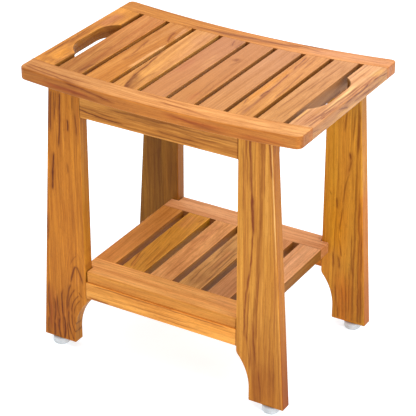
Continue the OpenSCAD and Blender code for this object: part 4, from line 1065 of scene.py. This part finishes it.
def foot_stud(name, body, sx, sy):
    """A foot's stud as one closed skin: flange, shank, hexagon for a spanner and an M6 thread of 1 mm pitch."""
    n, pitch, deep = 48, 1.0, 0.52
    x0, y0, top = sx * 181.5, sy * 131.2, 33.3

    def hexagon(a, z):
        a = (a + math.pi / 6) % (math.pi / 3) - math.pi / 6
        flat = 4.95 / math.cos(a)
        return min(flat, 5.15 + min(z - 7.6, 10.8 - z) * 1.5)

    def thread(a, z):
        f = (z / pitch + a / (2 * math.pi)) % 1.0
        cut = max(0.0, 1 - abs(f - 0.5) / 0.42)
        fade = min(1.0, max(0.0, (z - 11.4) / 1.2))
        lead = max(0.0, z - (top - 1.2)) * 0.66
        return min(3.0 - 0.02 - deep * cut * fade, 3.0 - lead)

    rings = [(3.0, lambda a, z: 5.2), (3.3, lambda a, z: 5.5), (5.2, lambda a, z: 5.5), (5.5, lambda a, z: 5.2), (5.5, lambda a, z: 3.25), (5.8, lambda a, z: 2.98),
             (7.6, lambda a, z: 2.98)]
    rings += [(z, hexagon) for z in (7.6, 7.75, 7.9, 8.2, 9.2, 10.2, 10.5, 10.65, 10.8)]
    rings += [(10.8, lambda a, z: 2.98), (11.2, lambda a, z: 2.98)]
    z = 11.4
    while z < top - 0.01:
        rings.append((z, thread))
        z += 0.1
    rings.append((top, thread))
    bm = bmesh.new()
    rows = []
    for z, r in rings:
        rows.append([bm.verts.new(((x0 + r(2 * math.pi * k / n, z) * math.cos(2 * math.pi * k / n)) / 1000,
                                   (y0 + r(2 * math.pi * k / n, z) * math.sin(2 * math.pi * k / n)) / 1000, z / 1000)) for k in range(n)])
    for a, b in zip(rows, rows[1:]):
        for k in range(n):
            bm.faces.new((a[k], a[(k + 1) % n], b[(k + 1) % n], b[k]))
    for row, z in ((rows[0][::-1], 3.0), (rows[-1], top)):
        c = bm.verts.new((x0 / 1000, y0 / 1000, z / 1000))
        for k in range(n):
            bm.faces.new((row[k], row[(k + 1) % n], c))
    bmesh.ops.recalc_face_normals(bm, faces=bm.faces)
    for f in bm.faces:
        f.smooth = True
    for e in bm.edges:
        e.smooth = e.calc_face_angle(0) < math.radians(32)
    me = bpy.data.meshes.new(name + "_threaded")
    bm.to_mesh(me)
    bm.free()
    ob = bpy.data.objects.new(name + "_threaded", me)
    bpy.context.scene.collection.objects.link(ob)
    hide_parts(name)
    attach(ob, body)
    return ob


def metal(name, base, dull, rough, scale, lines):
    """Turned or drawn metal: fine tool marks round or along it, a little dulling and a few darker spots."""
    mat, net, shader = material(name)
    tc = net.add("ShaderNodeTexCoord")
    at = net.vec("SCALE", tc.outputs["Object"], 1000.0)
    marks = net.noise(net.vec("MULTIPLY", at, lines), detail=3.0, rough=0.6).outputs["Fac"]
    cloud = net.noise(net.vec("SCALE", at, 1 / scale), detail=3.0, rough=0.55).outputs["Fac"]
    spots = net.noise(net.vec("SCALE", at, 1 / 0.8), detail=2.0, rough=0.6).outputs["Fac"]
    c = net.mix(net.span(cloud, 0.38, 0.66), (*base, 1), (*dull, 1))
    c = net.mix(net.math("MULTIPLY", net.span(spots, 0.64, 0.74), 0.5), c, (*[v * 0.45 for v in dull], 1))
    net.put(shader.inputs["Base Color"], c)
    shader.inputs["Metallic"].default_value = 1.0
    net.put(shader.inputs["Roughness"], net.math("ADD", net.span(cloud, 0.3, 0.7, rough, rough + 0.14), net.span(marks, 0.3, 0.7, -0.04, 0.06)))
    bump = net.add("ShaderNodeBump")
    bump.inputs["Strength"].default_value = 0.35
    bump.inputs["Distance"].default_value = 0.00003
    net.put(bump.inputs["Height"], marks)
    net.put(shader.inputs["Normal"], bump.outputs[0])
    return mat


def nylon():
    """Moulded white nylon, a little grey: a faint orange-peel skin, scuffs, darker round the rim that meets the floor,
    and painted shade under the leg.
    """
    mat, net, shader = material("nylon_pads")
    tc = net.add("ShaderNodeTexCoord")
    at = net.vec("SCALE", tc.outputs["Object"], 1000.0)
    z = net.split(at)[2]
    skin = net.noise(net.vec("SCALE", at, 1 / 0.5), detail=2.0, rough=0.5).outputs["Fac"]
    cloud = net.noise(net.vec("SCALE", at, 1 / 7), detail=3.0, rough=0.6).outputs["Fac"]
    scuff = net.noise(net.vec("MULTIPLY", at, (1 / 2.4, 1 / 2.4, 1 / 0.35)), detail=3.0, rough=0.65).outputs["Fac"]
    c = net.mix(net.span(cloud, 0.36, 0.66), (0.60, 0.61, 0.62, 1), (0.52, 0.53, 0.54, 1))
    c = net.mix(net.math("MULTIPLY", net.span(scuff, 0.58, 0.72), 0.35), c, (0.36, 0.36, 0.36, 1))
    low = net.math("MULTIPLY", net.span(z, 0.4, 2.6, 1.0, 0.0), net.span(cloud, 0.3, 0.6, 0.35, 0.75))
    c = net.mix(low, c, (0.34, 0.33, 0.31, 1))
    # painted shade under the leg, on the top of the pad
    c = net.mix(net.span(z, 8.6, 10.6, 0.0, 0.30), c, (0.30, 0.29, 0.28, 1))
    net.put(shader.inputs["Base Color"], c)
    net.put(shader.inputs["Roughness"], net.span(scuff, 0.3, 0.7, 0.34, 0.50))
    shader.inputs["Specular IOR Level"].default_value = 0.5
    shader.inputs["IOR"].default_value = 1.53
    shader.inputs["Subsurface Weight"].default_value = 0.12
    shader.inputs["Subsurface Radius"].default_value = (0.8, 0.8, 0.8)
    shader.inputs["Subsurface Scale"].default_value = 0.001
    bump = net.add("ShaderNodeBump")
    bump.inputs["Strength"].default_value = 0.4
    bump.inputs["Distance"].default_value = 0.00005
    net.put(bump.inputs["Height"], net.math("ADD", skin, net.math("MULTIPLY", scuff, 0.6)))
    net.put(shader.inputs["Normal"], bump.outputs[0])
    return mat


def beech():
    """Beech dowels, which lie along X: pale, with short darker flecks."""
    mat, net, shader = material("beech_dowels")
    tc = net.add("ShaderNodeTexCoord")
    at = net.vec("SCALE", tc.outputs["Object"], 1000.0)
    grain = net.noise(net.vec("MULTIPLY", at, (1 / 26, 1 / 0.9, 1 / 0.9)), detail=3.0, rough=0.6).outputs["Fac"]
    fleck = net.noise(net.vec("MULTIPLY", at, (1 / 2.6, 1 / 0.35, 1 / 0.35)), detail=1.0, rough=0.5).outputs["Fac"]
    c = net.mix(net.span(grain, 0.36, 0.66), lin((224, 188, 142)), lin((198, 156, 108)))
    c = net.mix(net.math("MULTIPLY", net.span(fleck, 0.60, 0.70), 0.5), c, lin((150, 106, 66)))
    net.put(shader.inputs["Base Color"], c)
    net.put(shader.inputs["Roughness"], net.span(grain, 0.3, 0.7, 0.52, 0.66))
    shader.inputs["Specular IOR Level"].default_value = 0.3
    bump = net.add("ShaderNodeBump")
    bump.inputs["Strength"].default_value = 0.5
    bump.inputs["Distance"].default_value = 0.00008
    net.put(bump.inputs["Height"], grain)
    net.put(shader.inputs["Normal"], bump.outputs[0])
    return mat


def dress(name, mat):
    """Gives a CAD node, whose mesh stays as it is, a material in all its slots."""
    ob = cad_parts[name]
    if not ob.material_slots:
        ob.data.materials.append(mat)
    for k in ob.material_slots:
        k.material = mat


STEEL = metal("stainless_parts", (0.60, 0.60, 0.61), (0.48, 0.48, 0.49), 0.24, 3.0, (1 / 0.25, 1 / 0.25, 1 / 0.12))
THREAD = metal("stainless_studs", (0.62, 0.62, 0.62), (0.50, 0.50, 0.50), 0.22, 2.2, (1 / 0.9, 1 / 0.9, 1 / 0.08))
BRASS = metal("brass_inserts", (0.76, 0.57, 0.25), (0.60, 0.42, 0.17), 0.28, 2.6, (1 / 0.8, 1 / 0.8, 1 / 0.10))
NYLON, BEECH = nylon(), beech()
for corner, sx, sy in (("front_left", -1, -1), ("front_right", 1, -1), ("rear_left", -1, 1), ("rear_right", 1, 1)):
    dress(f"foot_pad_{corner}", NYLON)
    foot_stud(f"foot_stud_{corner}", f"stud_{corner}", sx, sy).data.materials.append(THREAD)
for n in ("slat_screws", "leg_screws", "apron_screws", "shelf_screws"):
    dress(n, STEEL)
dress("foot_inserts", BRASS)
for n in ("apron_dowels", "stretcher_dowels"):
    dress(n, BEECH)

# ------------------------------------------------------------------ floor and light


def area(name, at, to, size, power, colour=(1, 1, 1)):
    d = bpy.data.lights.new(name, "AREA")
    d.shape = "DISK"
    d.size = size
    d.energy = power
    d.color = colour
    o = bpy.data.objects.new(name, d)
    bpy.context.scene.collection.objects.link(o)
    o.location = at
    o.rotation_euler = (Vector(to) - Vector(at)).to_track_quat("-Z", "Y").to_euler()
    return o


bm = bmesh.new()
bmesh.ops.create_grid(bm, x_segments=1, y_segments=1, size=6)
floor_mesh = bpy.data.meshes.new("floor")
bm.to_mesh(floor_mesh)
bm.free()
floor = bpy.data.objects.new("floor", floor_mesh)
bpy.context.scene.collection.objects.link(floor)
mat, net, shader = material("floor")
shader.inputs["Base Color"].default_value = (0.58, 0.66, 0.72, 1)
shader.inputs["Roughness"].default_value = 0.9
shader.inputs["Specular IOR Level"].default_value = 0.0
shader.inputs["Emission Color"].default_value = (0.97, 0.985, 1.0, 1)
shader.inputs["Emission Strength"].default_value = 0.62
floor_mesh.materials.append(mat)

world = bpy.data.worlds.new("studio")
bpy.context.scene.world = world
world.use_nodes = True
world.node_tree.nodes["Background"].inputs[0].default_value = (1, 1, 1, 1)
world.node_tree.nodes["Background"].inputs[1].default_value = 0.60

area("top", (0.1, 0.0, 3.2), (0, 0, 0.3), 2.6, 62)
area("left", (-3.0, -0.3, 1.3), (0, 0, 0.25), 2.0, 38)
area("right", (2.7, -0.9, 1.35), (0, 0, 0.25), 1.6, 38)
area("rim", (1.7, 2.6, 1.9), (0, 0, 0.4), 1.0, 24)

bpy.context.scene.view_settings.view_transform = "Standard"
bpy.context.scene.view_settings.look = "None"
